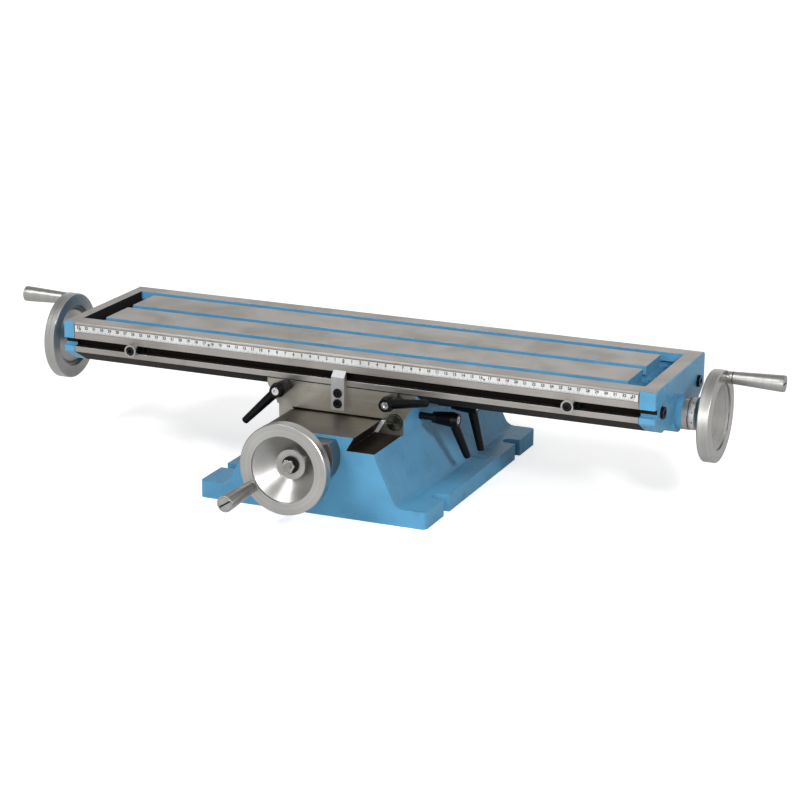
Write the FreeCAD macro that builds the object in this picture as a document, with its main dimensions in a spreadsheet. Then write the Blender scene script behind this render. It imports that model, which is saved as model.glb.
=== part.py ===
import FreeCAD, Part
import math
import os
import Sketcher

# Cross slide table: a T-slotted table on a saddle on a cast base, with two
# leadscrews, three handwheels and four clamping levers. Millimetres throughout.
# The origin is the middle of the base's footprint. X runs along the table,
# Y from the front handwheel to the back, Z up.

DIMENSIONS = [
    # casting of the base
    ("base_width", 268),
    ("base_depth", 336),
    ("flange_thick", 19),
    ("corner_round", 6),
    ("shelf_level", 76),
    ("shoulder_half", 74),
    ("waist_half", 76),
    ("waist_level", 68),
    ("foot_half", 100),
    ("foot_round", 12),
    ("base_wall", 12),
    ("end_wall", 14),
    ("bolt_slot_width", 16),
    ("bolt_slot_depth", 18),
    ("bolt_slot_y", 109),
    # dovetail ways
    ("way_angle", 60),
    ("way_rise", 15),
    ("cross_way_width", 106),
    ("cross_way_x", -3),
    ("long_way_width", 100),
    ("gib_thick", 5),
    ("way_clearance", 0.06),
    ("head_clearance", 1.8),
    ("gib_inset", 0.3),
    ("gib_rise", 0.3),
    ("long_head_gap", 0.4),
    # saddle
    ("saddle_x", 2),
    ("slide_y", -4),
    ("saddle_half", 89),
    ("saddle_step", 11),
    ("saddle_leg_half", 75),
    ("saddle_side_drop", 8),
    ("saddle_side_foot", 98),
    ("saddle_step_level", 95),
    ("saddle_ledge", 2),
    ("bevel_gap", 0.5),
    ("channel_half", 14),
    ("channel_floor", 102),
    # table
    ("table_x", 5),
    ("table_length", 672),
    ("table_depth", 180),
    ("table_top", 159),
    ("front_height", 35),
    ("bevel_in", 26),
    ("bevel_down", 15),
    ("edge_bevel", 1.5),
    ("slot_pitch", 63),
    ("slot_width", 12),
    ("slot_throat", 10),
    ("slot_tee_width", 20),
    ("slot_depth", 19),
    ("gutter_width", 23),
    ("gutter_depth", 14),
    ("drain_radius", 6),
    ("groove_level", 135),
    ("groove_width", 9.1),
    ("groove_throat", 7),
    ("groove_tee_width", 14),
    ("groove_tee_depth", 7),
    ("channel_head", 129.5),
    # end brackets
    ("right_bracket", 18),
    ("left_bracket", 14),
    ("lobe_radius", 22.3),
    ("boss_radius", 18.5),
    ("boss_length", 13),
    ("left_boss_length", 18.3),
    ("bracket_screw_y", 66),
    ("bracket_screw_level", 132),
    ("head_rise", 3.3),
    ("bracket_round", 2),
    # leadscrews
    ("screw_level", 115.2),
    ("cross_level", 69),
    ("cross_x", -1),
    ("screw_radius", 8),
    ("journal_radius", 6.5),
    ("seat_radius", 5.5),
    ("stud_radius", 4),
    ("fit_clearance", 0.05),
    ("end_play", 0.1),
    ("nut_length", 40),
    ("nut_half", 12),
    ("nut_head", 127),
    ("nut_foot", 56),
    ("cross_nut_y", 16),
    ("cross_nut_length", 28),
    ("spigot_radius", 8),
    ("spigot_depth", 4),
    ("cross_slot_front", -92),
    ("cross_slot_back", 128),
    ("slot_half", 14),
    ("tunnel_level", 81),
    ("wall_hole_radius", 11),
    # cross screw bearing
    ("bearing_radius", 36),
    ("bearing_thick", 20),
    ("front_boss_length", 15),
    ("bearing_flat", 87.5),
    ("bearing_screw_circle", 28),
    # graduated dials
    ("dial_radius", 18),
    ("dial_length", 8),
    ("dial_chamfer", 0.8),
    # handwheels
    ("wheel_radius", 50),
    ("rim_thick", 13.3),
    ("rim_inner", 36.5),
    ("rim_lip", 2.5),
    ("hub_radius", 16.4),
    ("hub_sink", 20.7),
    ("hub_thick", 4),
    ("hub_back_radius", 18),
    ("web_back_radius", 33),
    ("web_back_sink", 9.5),
    ("wheel_edge", 1),
    ("handle_circle", 43),
    ("handle_lean", 25),
    ("front_handle_angle", 213),
    ("front_slot_angle", 33),
    # handles
    ("grip_length", 62.5),
    ("grip_root", 6.5),
    ("grip_end", 9),
    ("grip_bolt", 4),
    ("grip_head", 7.2),
    ("grip_head_thick", 4),
    ("grip_head_gap", 0.3),
    ("grip_thread", 11),
    ("screw_slot", 1.8),
    # wheel fastening
    ("washer_radius", 9.5),
    ("washer_thick", 1.6),
    ("nut_flats", 13),
    ("nut_thick", 6.5),
    ("stud_stand", 2),
    # clamping levers
    ("front_lever_reach", 6),
    ("side_lever_reach", 21),
    ("front_lever_x", 65),
    ("front_lever_level", 117.5),
    ("side_lever_level", 87.4),
    ("side_lever_y", -49),
    ("side_lever_pitch", 57),
    ("lever_length", 52),
    ("left_lever_angle", 226),
    ("right_lever_angle", 11),
    ("side_lever_a_angle", -66),
    ("side_lever_b_angle", -84),
    ("lever_arm_start", 6.2),
    ("lever_tip_round", 1.2),
    ("lever_hub_base", 7),
    ("lever_hub_radius", 8.6),
    ("lever_hub_top", 7),
    ("lever_hub_height", 25),
    ("lever_shoulder", 18),
    ("lever_tilt", 9),
    ("lever_arm_level", 18.5),
    ("lever_arm_root", 5.5),
    ("lever_arm_tip", 4),
    ("lever_collar", 6.5),
    ("lever_collar_height", 4.8),
    ("lever_spigot", 4.6),
    ("lever_spigot_height", 14),
    ("lever_cap", 4.2),
    ("lever_cap_thick", 2.5),
    ("lever_cap_thread", 9),
    ("lever_cap_socket", 4),
    ("lever_cap_depth", 1.8),
    ("lever_cap_level", 22.3),
    ("lever_cap_bore", 4.8),
    ("lever_cap_stem", 2.5),
    # stop block and adjustable stops
    ("block_x", 1),
    ("block_width", 15.4),
    ("block_thick", 7),
    ("block_foot", 98),
    ("block_head", 141.5),
    ("block_slope", 6.5),
    ("block_sink", 4),
    ("block_relief", 0.5),
    ("block_screw_high", 117),
    ("block_screw_low", 105.2),
    ("stop_inset", 76),
    ("stop_radius", 7),
    ("stop_stand", 8),
    ("shoe_length", 18),
    ("shoe_gap", 0.3),
    # rule on the table's front
    ("rule_end_gap", 1),
    ("rule_width", 7.7),
    ("rule_thick", 0.5),
    ("rule_drop", 3.7),
    ("rivet_radius", 1.2),
    ("rivet_rise", 0.6),
    ("rivet_inset", 7),
    # socket head screws: thread radius, head radius, head height, socket flats, socket depth
    ("small_thread", 3),
    ("small_head", 5),
    ("small_head_thick", 5),
    ("small_socket", 5),
    ("small_depth", 3),
    ("large_thread", 4),
    ("large_head", 6.5),
    ("large_head_thick", 8),
    ("large_socket", 6),
    ("large_depth", 4),
    ("screw_bite", 12),
    ("block_bite", 6),
    ("head_gap", 0.5),
    # gib screws
    ("gib_screw_x", 66),
    ("gib_screw_level", 90.5),
    ("gib_screw_head", 9),
    ("gib_screw_thick", 4),
    ("gib_screw_sink", 1),
]

os.makedirs("parts", exist_ok=True)
doc = FreeCAD.newDocument("cross_slide_table")
sheet = doc.addObject("Spreadsheet::Sheet", "dims")
for row, (alias, size) in enumerate(DIMENSIONS, start=1):
    sheet.set("A%d" % row, alias)
    sheet.set("B%d" % row, str(size))
    sheet.setAlias("B%d" % row, alias)
doc.recompute()

NAMES = {alias for alias, size in DIMENSIONS}
nodes = []


def facing_rotation(outward, across):
    """The turn that lays a body's Z axis outward, its X axis across and its Y axis upright."""
    return FreeCAD.Rotation(FreeCAD.Vector(*across), FreeCAD.Vector(0, 0, 1), FreeCAD.Vector(*outward), "ZXY")


FACINGS = {
    "up": FreeCAD.Rotation(),
    "front": facing_rotation((0, -1, 0), (1, 0, 0)),
    "right": facing_rotation((1, 0, 0), (0, 1, 0)),
    "left": facing_rotation((-1, 0, 0), (0, -1, 0)),
}


def bind(text):
    """An expression on the sheet from plain text such as 'base_width / 2'."""
    words = []
    word = ""
    for letter in str(text) + " ":
        if letter.isalnum() or letter in "_.":
            word += letter
            continue
        words.append("dims." + word if word in NAMES else word)
        words.append(letter)
        word = ""
    return "".join(words).strip()


def value(text):
    """The number that an expression on the sheet gives now."""
    number = sheet.evalExpression(bind(text))
    return float(getattr(number, "Value", number))


def add_body(label):
    body = doc.addObject("PartDesign::Body", label)
    body.Label = label
    nodes.append(body)
    return body


def place(body, x="0", y="0", z="0", facing="up", turned="0"):
    """Stand a body at a point of the sheet, its own Z along one of the facings."""
    spin = FreeCAD.Rotation(FreeCAD.Vector(0, 0, 1), value(turned))
    body.Placement = FreeCAD.Placement(FreeCAD.Vector(0, 0, 0), FACINGS[facing].multiply(spin))
    for name, text in (("x", x), ("y", y), ("z", z)):
        body.setExpression(".Placement.Base." + name, bind(text))


def add_sketch(body, plane, offset):
    """A sketch on one of the body's own origin planes, moved along the plane's axis."""
    sketch = body.newObject("Sketcher::SketchObject", body.Name + "_sketch")
    role = plane + "_Plane"
    support = [item for item in body.Origin.OriginFeatures if item.Role == role][0]
    sketch.AttachmentSupport = [(support, "")]
    sketch.MapMode = "FlatFace"
    sign = "-1 * (%s)" if plane == "XZ" else "%s"
    sketch.setExpression(".AttachmentOffset.Base.z", bind(sign % offset))
    return sketch


def pin_point(sketch, geometry, point, x, y):
    """Hold one point of the sketch at two expressions."""
    for kind, text in (("DistanceX", x), ("DistanceY", y)):
        index = sketch.addConstraint(Sketcher.Constraint(kind, -1, 1, geometry, point, value(text)))
        sketch.setExpression("Constraints[%d]" % index, bind(text))


def draw_polygon(sketch, points):
    """A closed outline through the points, each corner held by the sheet."""
    corners = [FreeCAD.Vector(value(x), value(y), 0) for x, y in points]
    first = sketch.GeometryCount
    count = len(points)
    for number in range(count):
        sketch.addGeometry(Part.LineSegment(corners[number], corners[(number + 1) % count]), False)
    for number in range(count):
        after = (number + 1) % count
        sketch.addConstraint(Sketcher.Constraint("Coincident", first + number, 2, first + after, 1))
    for number, (x, y) in enumerate(points):
        pin_point(sketch, first + number, 1, x, y)


def draw_circle(sketch, x, y, radius):
    centre = FreeCAD.Vector(value(x), value(y), 0)
    index = sketch.addGeometry(Part.Circle(centre, FreeCAD.Vector(0, 0, 1), value(radius)), False)
    pin_point(sketch, index, 3, x, y)
    constraint = sketch.addConstraint(Sketcher.Constraint("Radius", index, value(radius)))
    sketch.setExpression("Constraints[%d]" % constraint, bind(radius))


def extrude(body, kind, plane, start, end, outlines, circles):
    """Add or remove a prism between two levels of the plane's axis."""
    cutting = kind == "PartDesign::Pocket"
    from_end = cutting != (plane == "XZ")
    sketch = add_sketch(body, plane, end if from_end else start)
    for points in outlines:
        draw_polygon(sketch, points)
    for circle in circles:
        draw_circle(sketch, *circle)
    feature = body.newObject(kind, body.Name + "_feature")
    feature.Profile = sketch
    feature.setExpression("Length", bind("(%s) - (%s)" % (end, start)))
    sketch.Visibility = False
    body.Tip = feature
    return feature


def pad(body, plane, start, end, outlines=(), circles=()):
    return extrude(body, "PartDesign::Pad", plane, start, end, outlines, circles)


def pocket(body, plane, start, end, outlines=(), circles=()):
    return extrude(body, "PartDesign::Pocket", plane, start, end, outlines, circles)


def span(side, inner, outer):
    """A stretch on one side of the middle, its lower level first."""
    if side > 0:
        return inner, outer
    return "-1 * (%s)" % outer, "-1 * (%s)" % inner


def box(x0, x1, y0, y1):
    return [(x0, y0), (x1, y0), (x1, y1), (x0, y1)]


def turn(body, points, kind="PartDesign::Revolution"):
    """A turned shape about the body's own Z axis from (radius, height) points."""
    sketch = add_sketch(body, "XZ", "0")
    draw_polygon(sketch, points)
    feature = body.newObject(kind, body.Name + "_feature")
    feature.Profile = sketch
    feature.ReferenceAxis = (sketch, ["V_Axis"])
    feature.Angle = 360
    sketch.Visibility = False
    body.Tip = feature
    return feature


def hexagon(flats, x="0", y="0"):
    """The corners of a hexagon across flats, flats facing along y."""
    reach = "(%s) / 2 / cos(30)" % flats
    corners = []
    for angle in range(0, 360, 60):
        corners.append(("%s + %s * cos(%d)" % (x, reach, angle), "%s + %s * sin(%d)" % (y, reach, angle)))
    return corners


def dress(body, kind, size, wanted):
    """Round or bevel the edges that a test on their middle and direction picks."""
    doc.recompute()
    base = body.Tip
    picked = []
    for number, edge in enumerate(base.Shape.Edges, start=1):
        halfway = (edge.FirstParameter + edge.LastParameter) / 2
        if wanted(edge.valueAt(halfway), edge.tangentAt(halfway)):
            picked.append("Edge%d" % number)
    feature = body.newObject(kind, body.Name + "_feature")
    feature.Base = (base, picked)
    feature.setExpression("Radius" if kind == "PartDesign::Fillet" else "Size", bind(size))
    body.Tip = feature
    return feature


def near(a, b):
    return abs(a - b) < 0.01


RUN = "(way_rise / tan(way_angle))"
WAY_TOP = "(shelf_level + way_rise)"
SILL = "(table_top - front_height)"
TABLE_FOOT = "(table_top - front_height - bevel_down)"
TABLE_EDGE = "(table_depth / 2)"
SADDLE_TOP = "(table_top - front_height - long_head_gap)"
SADDLE_EDGE = TABLE_EDGE
SADDLE_FRONT = "(slide_y - table_depth / 2)"
CEILING = "(shelf_level + way_rise + head_clearance)"


def build_base():
    body = add_body("base_casting")
    half = "base_depth / 2"
    pad(body, "XY", "0", "flange_thick", [box("-base_width / 2", "base_width / 2", "-base_depth / 2", half)])
    dress(body, "PartDesign::Fillet", "corner_round", lambda middle, way: near(abs(way.z), 1))
    pad(body, "XZ", "-base_depth / 2", half, [[
        ("-foot_half", "0"), ("foot_half", "0"), ("foot_half", "flange_thick"),
        ("waist_half", "waist_level"), ("shoulder_half", "shelf_level"), ("-shoulder_half", "shelf_level"),
        ("-waist_half", "waist_level"), ("-foot_half", "flange_thick")]])
    dress(body, "PartDesign::Fillet", "foot_round", lambda middle, way: near(abs(way.y), 1)
          and near(abs(middle.x), value("foot_half")) and near(middle.z, value("flange_thick")))
    pad(body, "XZ", "-base_depth / 2", half, [[
        ("cross_way_x - cross_way_width / 2 + %s" % RUN, "shelf_level"),
        ("cross_way_x + cross_way_width / 2 - %s" % RUN, "shelf_level"),
        ("cross_way_x + cross_way_width / 2", WAY_TOP), ("cross_way_x - cross_way_width / 2", WAY_TOP)]])
    inner = "base_depth / 2 - end_wall"
    pocket(body, "XZ", "-1 * (%s)" % inner, inner, [[
        ("base_wall - foot_half", "0"), ("foot_half - base_wall", "0"),
        ("waist_half - base_wall", "waist_level - base_wall / 2"),
        ("base_wall - waist_half", "waist_level - base_wall / 2")]])
    pocket(body, "XZ", "-1 * (%s)" % inner, inner, [
        box("cross_x - slot_half", "cross_x + slot_half", "flange_thick", "tunnel_level")])
    pocket(body, "XY", "flange_thick", WAY_TOP, [
        box("cross_x - slot_half", "cross_x + slot_half", "cross_slot_front", "cross_slot_back")])
    screw_axis = ("cross_x", "cross_level")
    pocket(body, "XZ", "-base_depth / 2", "-1 * (%s)" % inner, circles=[(*screw_axis, "wall_hole_radius")])
    pocket(body, "XZ", inner, half, circles=[(*screw_axis, "seat_radius + fit_clearance")])
    slots = []
    rounds = []
    for side in (-1, 1):
        bottom, edge = "base_width / 2 - bolt_slot_depth + bolt_slot_width / 2", "base_width / 2"
        for row in ("-bolt_slot_y", "bolt_slot_y"):
            low, high = "%s - bolt_slot_width / 2" % row, "%s + bolt_slot_width / 2" % row
            slots.append(box(*span(side, bottom, edge), low, high))
            rounds.append(("%d * (%s)" % (side, bottom), row, "bolt_slot_width / 2"))
    pocket(body, "XY", "0", "flange_thick", slots)
    pocket(body, "XY", "0", "flange_thick", circles=rounds)
    holes = [(x, z, "small_thread") for x, z in bearing_screw_points(*screw_axis)]
    pocket(body, "XZ", "-base_depth / 2", "-base_depth / 2 + screw_bite", circles=holes)
    place(body)


def bearing_screw_points(x="0", z="0"):
    """Three places on a circle about a point, with none under the flat on top."""
    circle = "bearing_screw_circle"
    return [("%s + %s * cos(%d)" % (x, circle, angle), "%s + %s * sin(%d)" % (z, circle, angle))
            for angle in (0, 180, 270)]


def build_cross_bearing():
    body = add_body("cross_bearing")
    face = "-base_depth / 2"
    front = "-base_depth / 2 - bearing_thick"
    nose = "-base_depth / 2 - bearing_thick - front_boss_length"
    pad(body, "XZ", front, face, circles=[("cross_x", "cross_level", "bearing_radius")])
    above = box("cross_x - bearing_radius", "cross_x + bearing_radius",
                "bearing_flat", "cross_level + bearing_radius")
    pocket(body, "XZ", front, face, [above])
    pad(body, "XZ", nose, front, circles=[("cross_x", "cross_level", "boss_radius")])
    pocket(body, "XZ", nose, face, circles=[("cross_x", "cross_level", "journal_radius + fit_clearance")])
    holes = [(x, z, "small_thread") for x, z in bearing_screw_points("cross_x", "cross_level")]
    pocket(body, "XZ", front, face, circles=holes)
    place(body)


def socket_screws(label, spots, size, reach):
    """A group of socket head screws standing on the body's own XY plane."""
    body = add_body(label)
    head = size + "_head_thick"
    pad(body, "XY", "0", head, circles=[(x, y, size + "_head") for x, y in spots])
    sockets = [hexagon(size + "_socket", x, y) for x, y in spots]
    pocket(body, "XY", "%s - %s_depth" % (head, size), head, sockets)
    pad(body, "XY", "-1 * (%s)" % reach, "0", circles=[(x, y, size + "_thread") for x, y in spots])
    return body


def build_bearing_screws():
    reach = "bearing_thick + screw_bite - head_gap"
    body = socket_screws("cross_bearing_screws", bearing_screw_points(), "small", reach)
    place(body, "cross_x", "-base_depth / 2 - bearing_thick", "cross_level", "front")


LEFT_FLANK = "(cross_way_x - cross_way_width / 2 - way_clearance)"
RIGHT_FLANK = "(cross_way_x + cross_way_width / 2 + way_clearance + gib_thick)"
CROSS_RUN = "((way_rise + head_clearance) / tan(way_angle))"
LONG_TOP = "(long_way_width / 2)"
LONG_ROOT = "(long_way_width / 2 - way_rise / tan(way_angle))"


def build_saddle():
    body = add_body("saddle_casting")
    outline = [
        ("-saddle_leg_half", "shelf_level"),
        ("%s + %s - saddle_x" % (LEFT_FLANK, RUN), "shelf_level"),
        ("%s + %s - %s - saddle_x" % (LEFT_FLANK, RUN, CROSS_RUN), CEILING),
        ("%s - %s + %s - saddle_x" % (RIGHT_FLANK, RUN, CROSS_RUN), CEILING),
        ("%s - %s - saddle_x" % (RIGHT_FLANK, RUN), "shelf_level"),
        ("saddle_leg_half", "shelf_level"), ("saddle_leg_half", "saddle_step_level"),
        ("saddle_leg_half + saddle_ledge", "saddle_step_level"),
        ("saddle_half - saddle_step", "saddle_side_foot"),
        ("saddle_half", "%s - saddle_side_drop" % SILL), ("saddle_half", SADDLE_TOP),
        ("-saddle_half", SADDLE_TOP), ("-saddle_half", "%s - saddle_side_drop" % SILL),
        ("saddle_step - saddle_half", "saddle_side_foot"),
        ("-saddle_leg_half - saddle_ledge", "saddle_step_level"),
        ("-saddle_leg_half", "saddle_step_level")]
    front = "-1 * %s" % SADDLE_EDGE
    pad(body, "XZ", front, SADDLE_EDGE, [outline])
    left = "-saddle_half"
    lip = "%s - bevel_gap" % SILL
    tuck = "bevel_in * (1 - bevel_gap / bevel_down)"
    for side, narrowed in (("-1", "gib_thick"), ("1", "0")):
        edge = "%s * %s" % (side, SADDLE_EDGE)
        root = "%s * (%s - %s)" % (side, LONG_ROOT, narrowed)
        top = "%s * (%s - %s)" % (side, LONG_TOP, narrowed)
        pocket(body, "YZ", left, "saddle_half", [[
            (edge, lip), ("%s * (%s - %s)" % (side, SADDLE_EDGE, tuck), TABLE_FOOT), (root, TABLE_FOOT),
            (top, SILL), (edge, SILL)]])
    pocket(body, "YZ", left, "saddle_half", [box("-channel_half", "channel_half", "channel_floor", SILL)])
    nut_x = "cross_x - saddle_x"
    nut_y = "cross_nut_y - slide_y"
    pocket(body, "XY", CEILING, "%s + spigot_depth" % CEILING, circles=[(nut_x, nut_y, "spigot_radius")])
    pocket(body, "XY", "channel_floor - spigot_depth", "channel_floor", circles=[("0", "0", "spigot_radius")])
    stud_hole = "stud_radius + fit_clearance"
    studs = [("%d * front_lever_x" % side, "front_lever_level", stud_hole) for side in (-1, 1)]
    pocket(body, "XZ", front, front + " + bevel_in", circles=studs)
    levels = ("block_screw_high", "block_screw_low")
    holes = [("block_x - saddle_x", level, "small_thread") for level in levels]
    pocket(body, "XZ", front, front + " + block_bite", circles=holes)
    for side in (-1, 1):
        for sink, radius in (("gib_screw_sink", "gib_screw_head + head_gap"), ("screw_bite", "small_thread")):
            low, high = span(side, "%s - %s" % (SADDLE_EDGE, sink), SADDLE_EDGE)
            pocket(body, "XZ", low, high, circles=[("gib_screw_x - saddle_x", "gib_screw_level", radius)])
    first = "side_lever_y - slide_y"
    rows = [(y, "side_lever_level", stud_hole) for y in (first, first + " + side_lever_pitch")]
    pocket(body, "YZ", "%s - saddle_x - gib_thick" % RIGHT_FLANK, "saddle_half", circles=rows)
    place(body, "saddle_x", "slide_y")


def build_cross_gib():
    body = add_body("cross_gib")
    foot = "shelf_level + gib_rise"
    inner = "(cross_way_x + cross_way_width / 2 + way_clearance)"
    shift = "(way_rise - gib_rise) / tan(way_angle)"
    reach = "%s - gib_inset" % SADDLE_EDGE
    pad(body, "XZ", "-1 * (%s)" % reach, reach, [[
        ("%s - %s" % (inner, shift), foot), ("%s - %s" % (RIGHT_FLANK, shift), foot),
        (RIGHT_FLANK, WAY_TOP), (inner, WAY_TOP)]])
    place(body, "0", "slide_y")


def build_long_gib():
    body = add_body("long_gib")
    foot = "%s + gib_rise" % TABLE_FOOT
    shift = "(way_rise - gib_rise) / tan(way_angle)"
    head = "%s - long_head_gap" % SILL
    lean = "long_head_gap / tan(way_angle)"
    reach = "saddle_half - gib_inset"
    pad(body, "YZ", "-1 * (%s)" % reach, reach, [[
        ("%s - %s" % (shift, LONG_TOP), foot), ("%s - %s + gib_thick" % (shift, LONG_TOP), foot),
        ("%s - %s + gib_thick" % (lean, LONG_TOP), head), ("%s - %s" % (lean, LONG_TOP), head)]])
    place(body, "saddle_x", "slide_y")


def build_gib_screws():
    body = add_body("gib_screws")
    outer = "%s + gib_screw_thick - gib_screw_sink" % SADDLE_EDGE
    seat = "%s - gib_screw_sink" % SADDLE_EDGE
    for side in (-1, 1):
        pad(body, "XZ", *span(side, seat, outer), circles=[("0", "0", "gib_screw_head")])
    for side in (-1, 1):
        tip = "%s - screw_bite + head_gap" % SADDLE_EDGE
        pad(body, "XZ", *span(side, tip, seat), circles=[("0", "0", "small_thread")])
        slot = box("-gib_screw_head", "gib_screw_head", "-screw_slot / 2", "screw_slot / 2")
        pocket(body, "XZ", *span(side, "%s - screw_slot" % outer, outer), [slot])
    place(body, "gib_screw_x", "slide_y", "gib_screw_level")


def build_long_nut():
    body = add_body("long_nut")
    half = "nut_length / 2"
    pad(body, "YZ", "-nut_length / 2", half, [box("-nut_half", "nut_half", "channel_floor", "nut_head")])
    pad(body, "XY", "channel_floor - spigot_depth", "channel_floor",
        circles=[("0", "0", "spigot_radius - fit_clearance")])
    thread = ("0", "screw_level", "screw_radius + fit_clearance")
    pocket(body, "YZ", "-nut_length / 2", half, circles=[thread])
    place(body, "saddle_x", "slide_y")


def build_cross_nut():
    body = add_body("cross_nut")
    half = "cross_nut_length / 2"
    pad(body, "XZ", "-cross_nut_length / 2", half, [box("-nut_half", "nut_half", "nut_foot", CEILING)])
    spigot = ("0", "0", "spigot_radius - fit_clearance")
    pad(body, "XY", CEILING, "%s + spigot_depth" % CEILING, circles=[spigot])
    thread = ("0", "cross_level", "screw_radius + fit_clearance")
    pocket(body, "XZ", "-cross_nut_length / 2", half, circles=[thread])
    place(body, "cross_x", "cross_nut_y")


def build_stop_block():
    body = add_body("stop_block")
    step = "%s - bevel_gap" % SILL
    pad(body, "YZ", "-block_width / 2", "block_width / 2", [[
        ("0", "block_foot"), ("0", step), ("-block_relief", step), ("-block_relief", "block_head"),
        ("-block_thick", "block_head - block_slope"), ("-block_thick", "block_foot")]])
    holes = [("0", level, "small_thread") for level in ("block_screw_high", "block_screw_low")]
    pocket(body, "XZ", "-block_thick", "0", circles=holes)
    sinks = [(x, level, "small_head + shoe_gap") for x, level, thread in holes]
    pocket(body, "XZ", "-block_thick", "block_sink - block_thick", circles=sinks)
    place(body, "block_x", SADDLE_FRONT)


def build_stop_block_screws():
    spots = [("0", level) for level in ("block_screw_high", "block_screw_low")]
    web = "block_thick - block_sink"
    body = socket_screws("stop_block_screws", spots, "small", "%s + block_bite - head_gap" % web)
    place(body, "block_x", "%s - (%s)" % (SADDLE_FRONT, web), "0", "front")


def table_outline():
    """The outside of the table's section, from the foot at the back over the top to the foot in front."""
    return [("%s - bevel_in" % TABLE_EDGE, TABLE_FOOT), (TABLE_EDGE, SILL),
            (TABLE_EDGE, "table_top - edge_bevel"), ("%s - edge_bevel" % TABLE_EDGE, "table_top"),
            ("edge_bevel - %s" % TABLE_EDGE, "table_top"),
            ("-1 * %s" % TABLE_EDGE, "table_top - edge_bevel"), ("-1 * %s" % TABLE_EDGE, SILL),
            ("bevel_in - %s" % TABLE_EDGE, TABLE_FOOT)]


def tee_outline(row):
    """The section of one T-slot, open at the table's top."""
    throat = "table_top - slot_throat"
    floor = "table_top - slot_depth"
    outline = []
    for side, order in (("-", (0, 1, 2, 3)), ("+", (3, 2, 1, 0))):
        neck = "%s %s slot_width / 2" % (row, side)
        wing = "%s %s slot_tee_width / 2" % (row, side)
        corners = [(neck, "table_top"), (neck, throat), (wing, throat), (wing, floor)]
        outline += [corners[number] for number in order]
    return outline


def build_table():
    body = add_body("table")
    end = "table_length / 2"
    start = "-table_length / 2"
    inner = "(%s + way_clearance)" % LONG_TOP
    root = "(%s + way_clearance)" % LONG_ROOT
    pad(body, "YZ", start, end, [[
        ("-1 * %s" % root, TABLE_FOOT), ("-1 * %s" % inner, SILL), (inner, SILL), (root, TABLE_FOOT),
        *table_outline()]])
    pocket(body, "YZ", start, end, [box("-channel_half", "channel_half", TABLE_FOOT, "channel_head")])
    pocket(body, "YZ", start, end, [tee_outline(row) for row in ("-slot_pitch", "0", "slot_pitch")])
    rail = "slot_pitch + slot_width / 2"
    low = "-1 * (%s)" % rail
    gutters = [box(start, "gutter_width - table_length / 2", low, rail),
               box("table_length / 2 - gutter_width", end, low, rail)]
    pocket(body, "XY", "table_top - gutter_depth", "table_top", gutters)
    face = "-1 * %s" % TABLE_EDGE
    throat = "%s + groove_throat" % face
    for reach, width in ((throat, "groove_width"), (throat + " + groove_tee_depth", "groove_tee_width")):
        inlet = face if width == "groove_width" else throat
        cut = box(inlet, reach, "groove_level - %s / 2" % width, "groove_level + %s / 2" % width)
        pocket(body, "YZ", start, end, [cut])
    drain = ("table_length / 2 - gutter_width / 2", "slot_pitch", "drain_radius")
    pocket(body, "XY", TABLE_FOOT, "table_top", circles=[drain])
    holes = [("%d * bracket_screw_y" % row, "bracket_screw_level", "large_thread") for row in (-1, 1)]
    for side in (-1, 1):
        pocket(body, "YZ", *span(side, "%s - screw_bite" % end, end), circles=holes)
    place(body, "table_x", "slide_y")


RULE_END = "(table_length / 2 - rule_end_gap)"


def build_rule():
    body = add_body("rule")
    top = "table_top - rule_drop"
    pad(body, "XZ", "-1 * (%s + rule_thick)" % TABLE_EDGE, "-1 * %s" % TABLE_EDGE,
        [box("-1 * %s" % RULE_END, RULE_END, "%s - rule_width" % top, top)])
    place(body, "table_x", "slide_y")


def build_rule_rivets():
    body = add_body("rule_rivets")
    level = "table_top - rule_drop - rule_width / 2"
    rivets = [("%s * (%s - rivet_inset)" % (share, RULE_END), level, "rivet_radius")
              for share in (-1, -0.5, 0, 0.5, 1)]
    face = "%s + rule_thick" % TABLE_EDGE
    pad(body, "XZ", "-1 * (%s + rivet_rise)" % face, "-1 * (%s)" % face, circles=rivets)
    place(body, "table_x", "slide_y")


def build_bracket(label, thick, boss, side):
    """An end bracket: the table's own outline with a lobe round the screw and a boss."""
    body = add_body(label)
    inside = "table_length / 2"
    outside = "(table_length / 2 + %s)" % thick
    plate = span(side, inside, outside)
    pad(body, "YZ", *plate, [table_outline()])
    face = side * value(outside)
    dress(body, "PartDesign::Fillet", "bracket_round",
          lambda middle, way: near(middle.x, face) and middle.z > value(SILL))
    nose = "%s + %s" % (outside, boss)
    pad(body, "YZ", *plate, circles=[("0", "screw_level", "lobe_radius")])
    pad(body, "YZ", *span(side, outside, nose), circles=[("0", "screw_level", "boss_radius")])
    bore = ("0", "screw_level", "journal_radius + fit_clearance")
    pocket(body, "YZ", *span(side, inside, nose), circles=[bore])
    front = "-1 * %s" % TABLE_EDGE
    slot = box(front, "%s + groove_throat" % front,
               "groove_level - groove_width / 2", "groove_level + groove_width / 2")
    pocket(body, "YZ", *plate, [slot])
    spots = [("%d * bracket_screw_y" % row, "bracket_screw_level") for row in (-1, 1)]
    seat = "%s + head_rise - large_head_thick" % outside
    sinks = [(y, z, "large_head + head_gap") for y, z in spots]
    pocket(body, "YZ", *span(side, seat, outside), circles=sinks)
    pocket(body, "YZ", *plate, circles=[(y, z, "large_thread") for y, z in spots])
    place(body, "table_x", "slide_y")


def build_bracket_screws(label, thick, side, facing):
    spots = [("%d * bracket_screw_y" % row, "0") for row in (-1, 1)]
    seat = "%s + head_rise - large_head_thick" % thick
    body = socket_screws(label, spots, "large", "%s + screw_bite - head_gap" % seat)
    x = "table_x + %d * (table_length / 2 + %s)" % (side, seat)
    place(body, x, "slide_y", "bracket_screw_level", facing)


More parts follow.
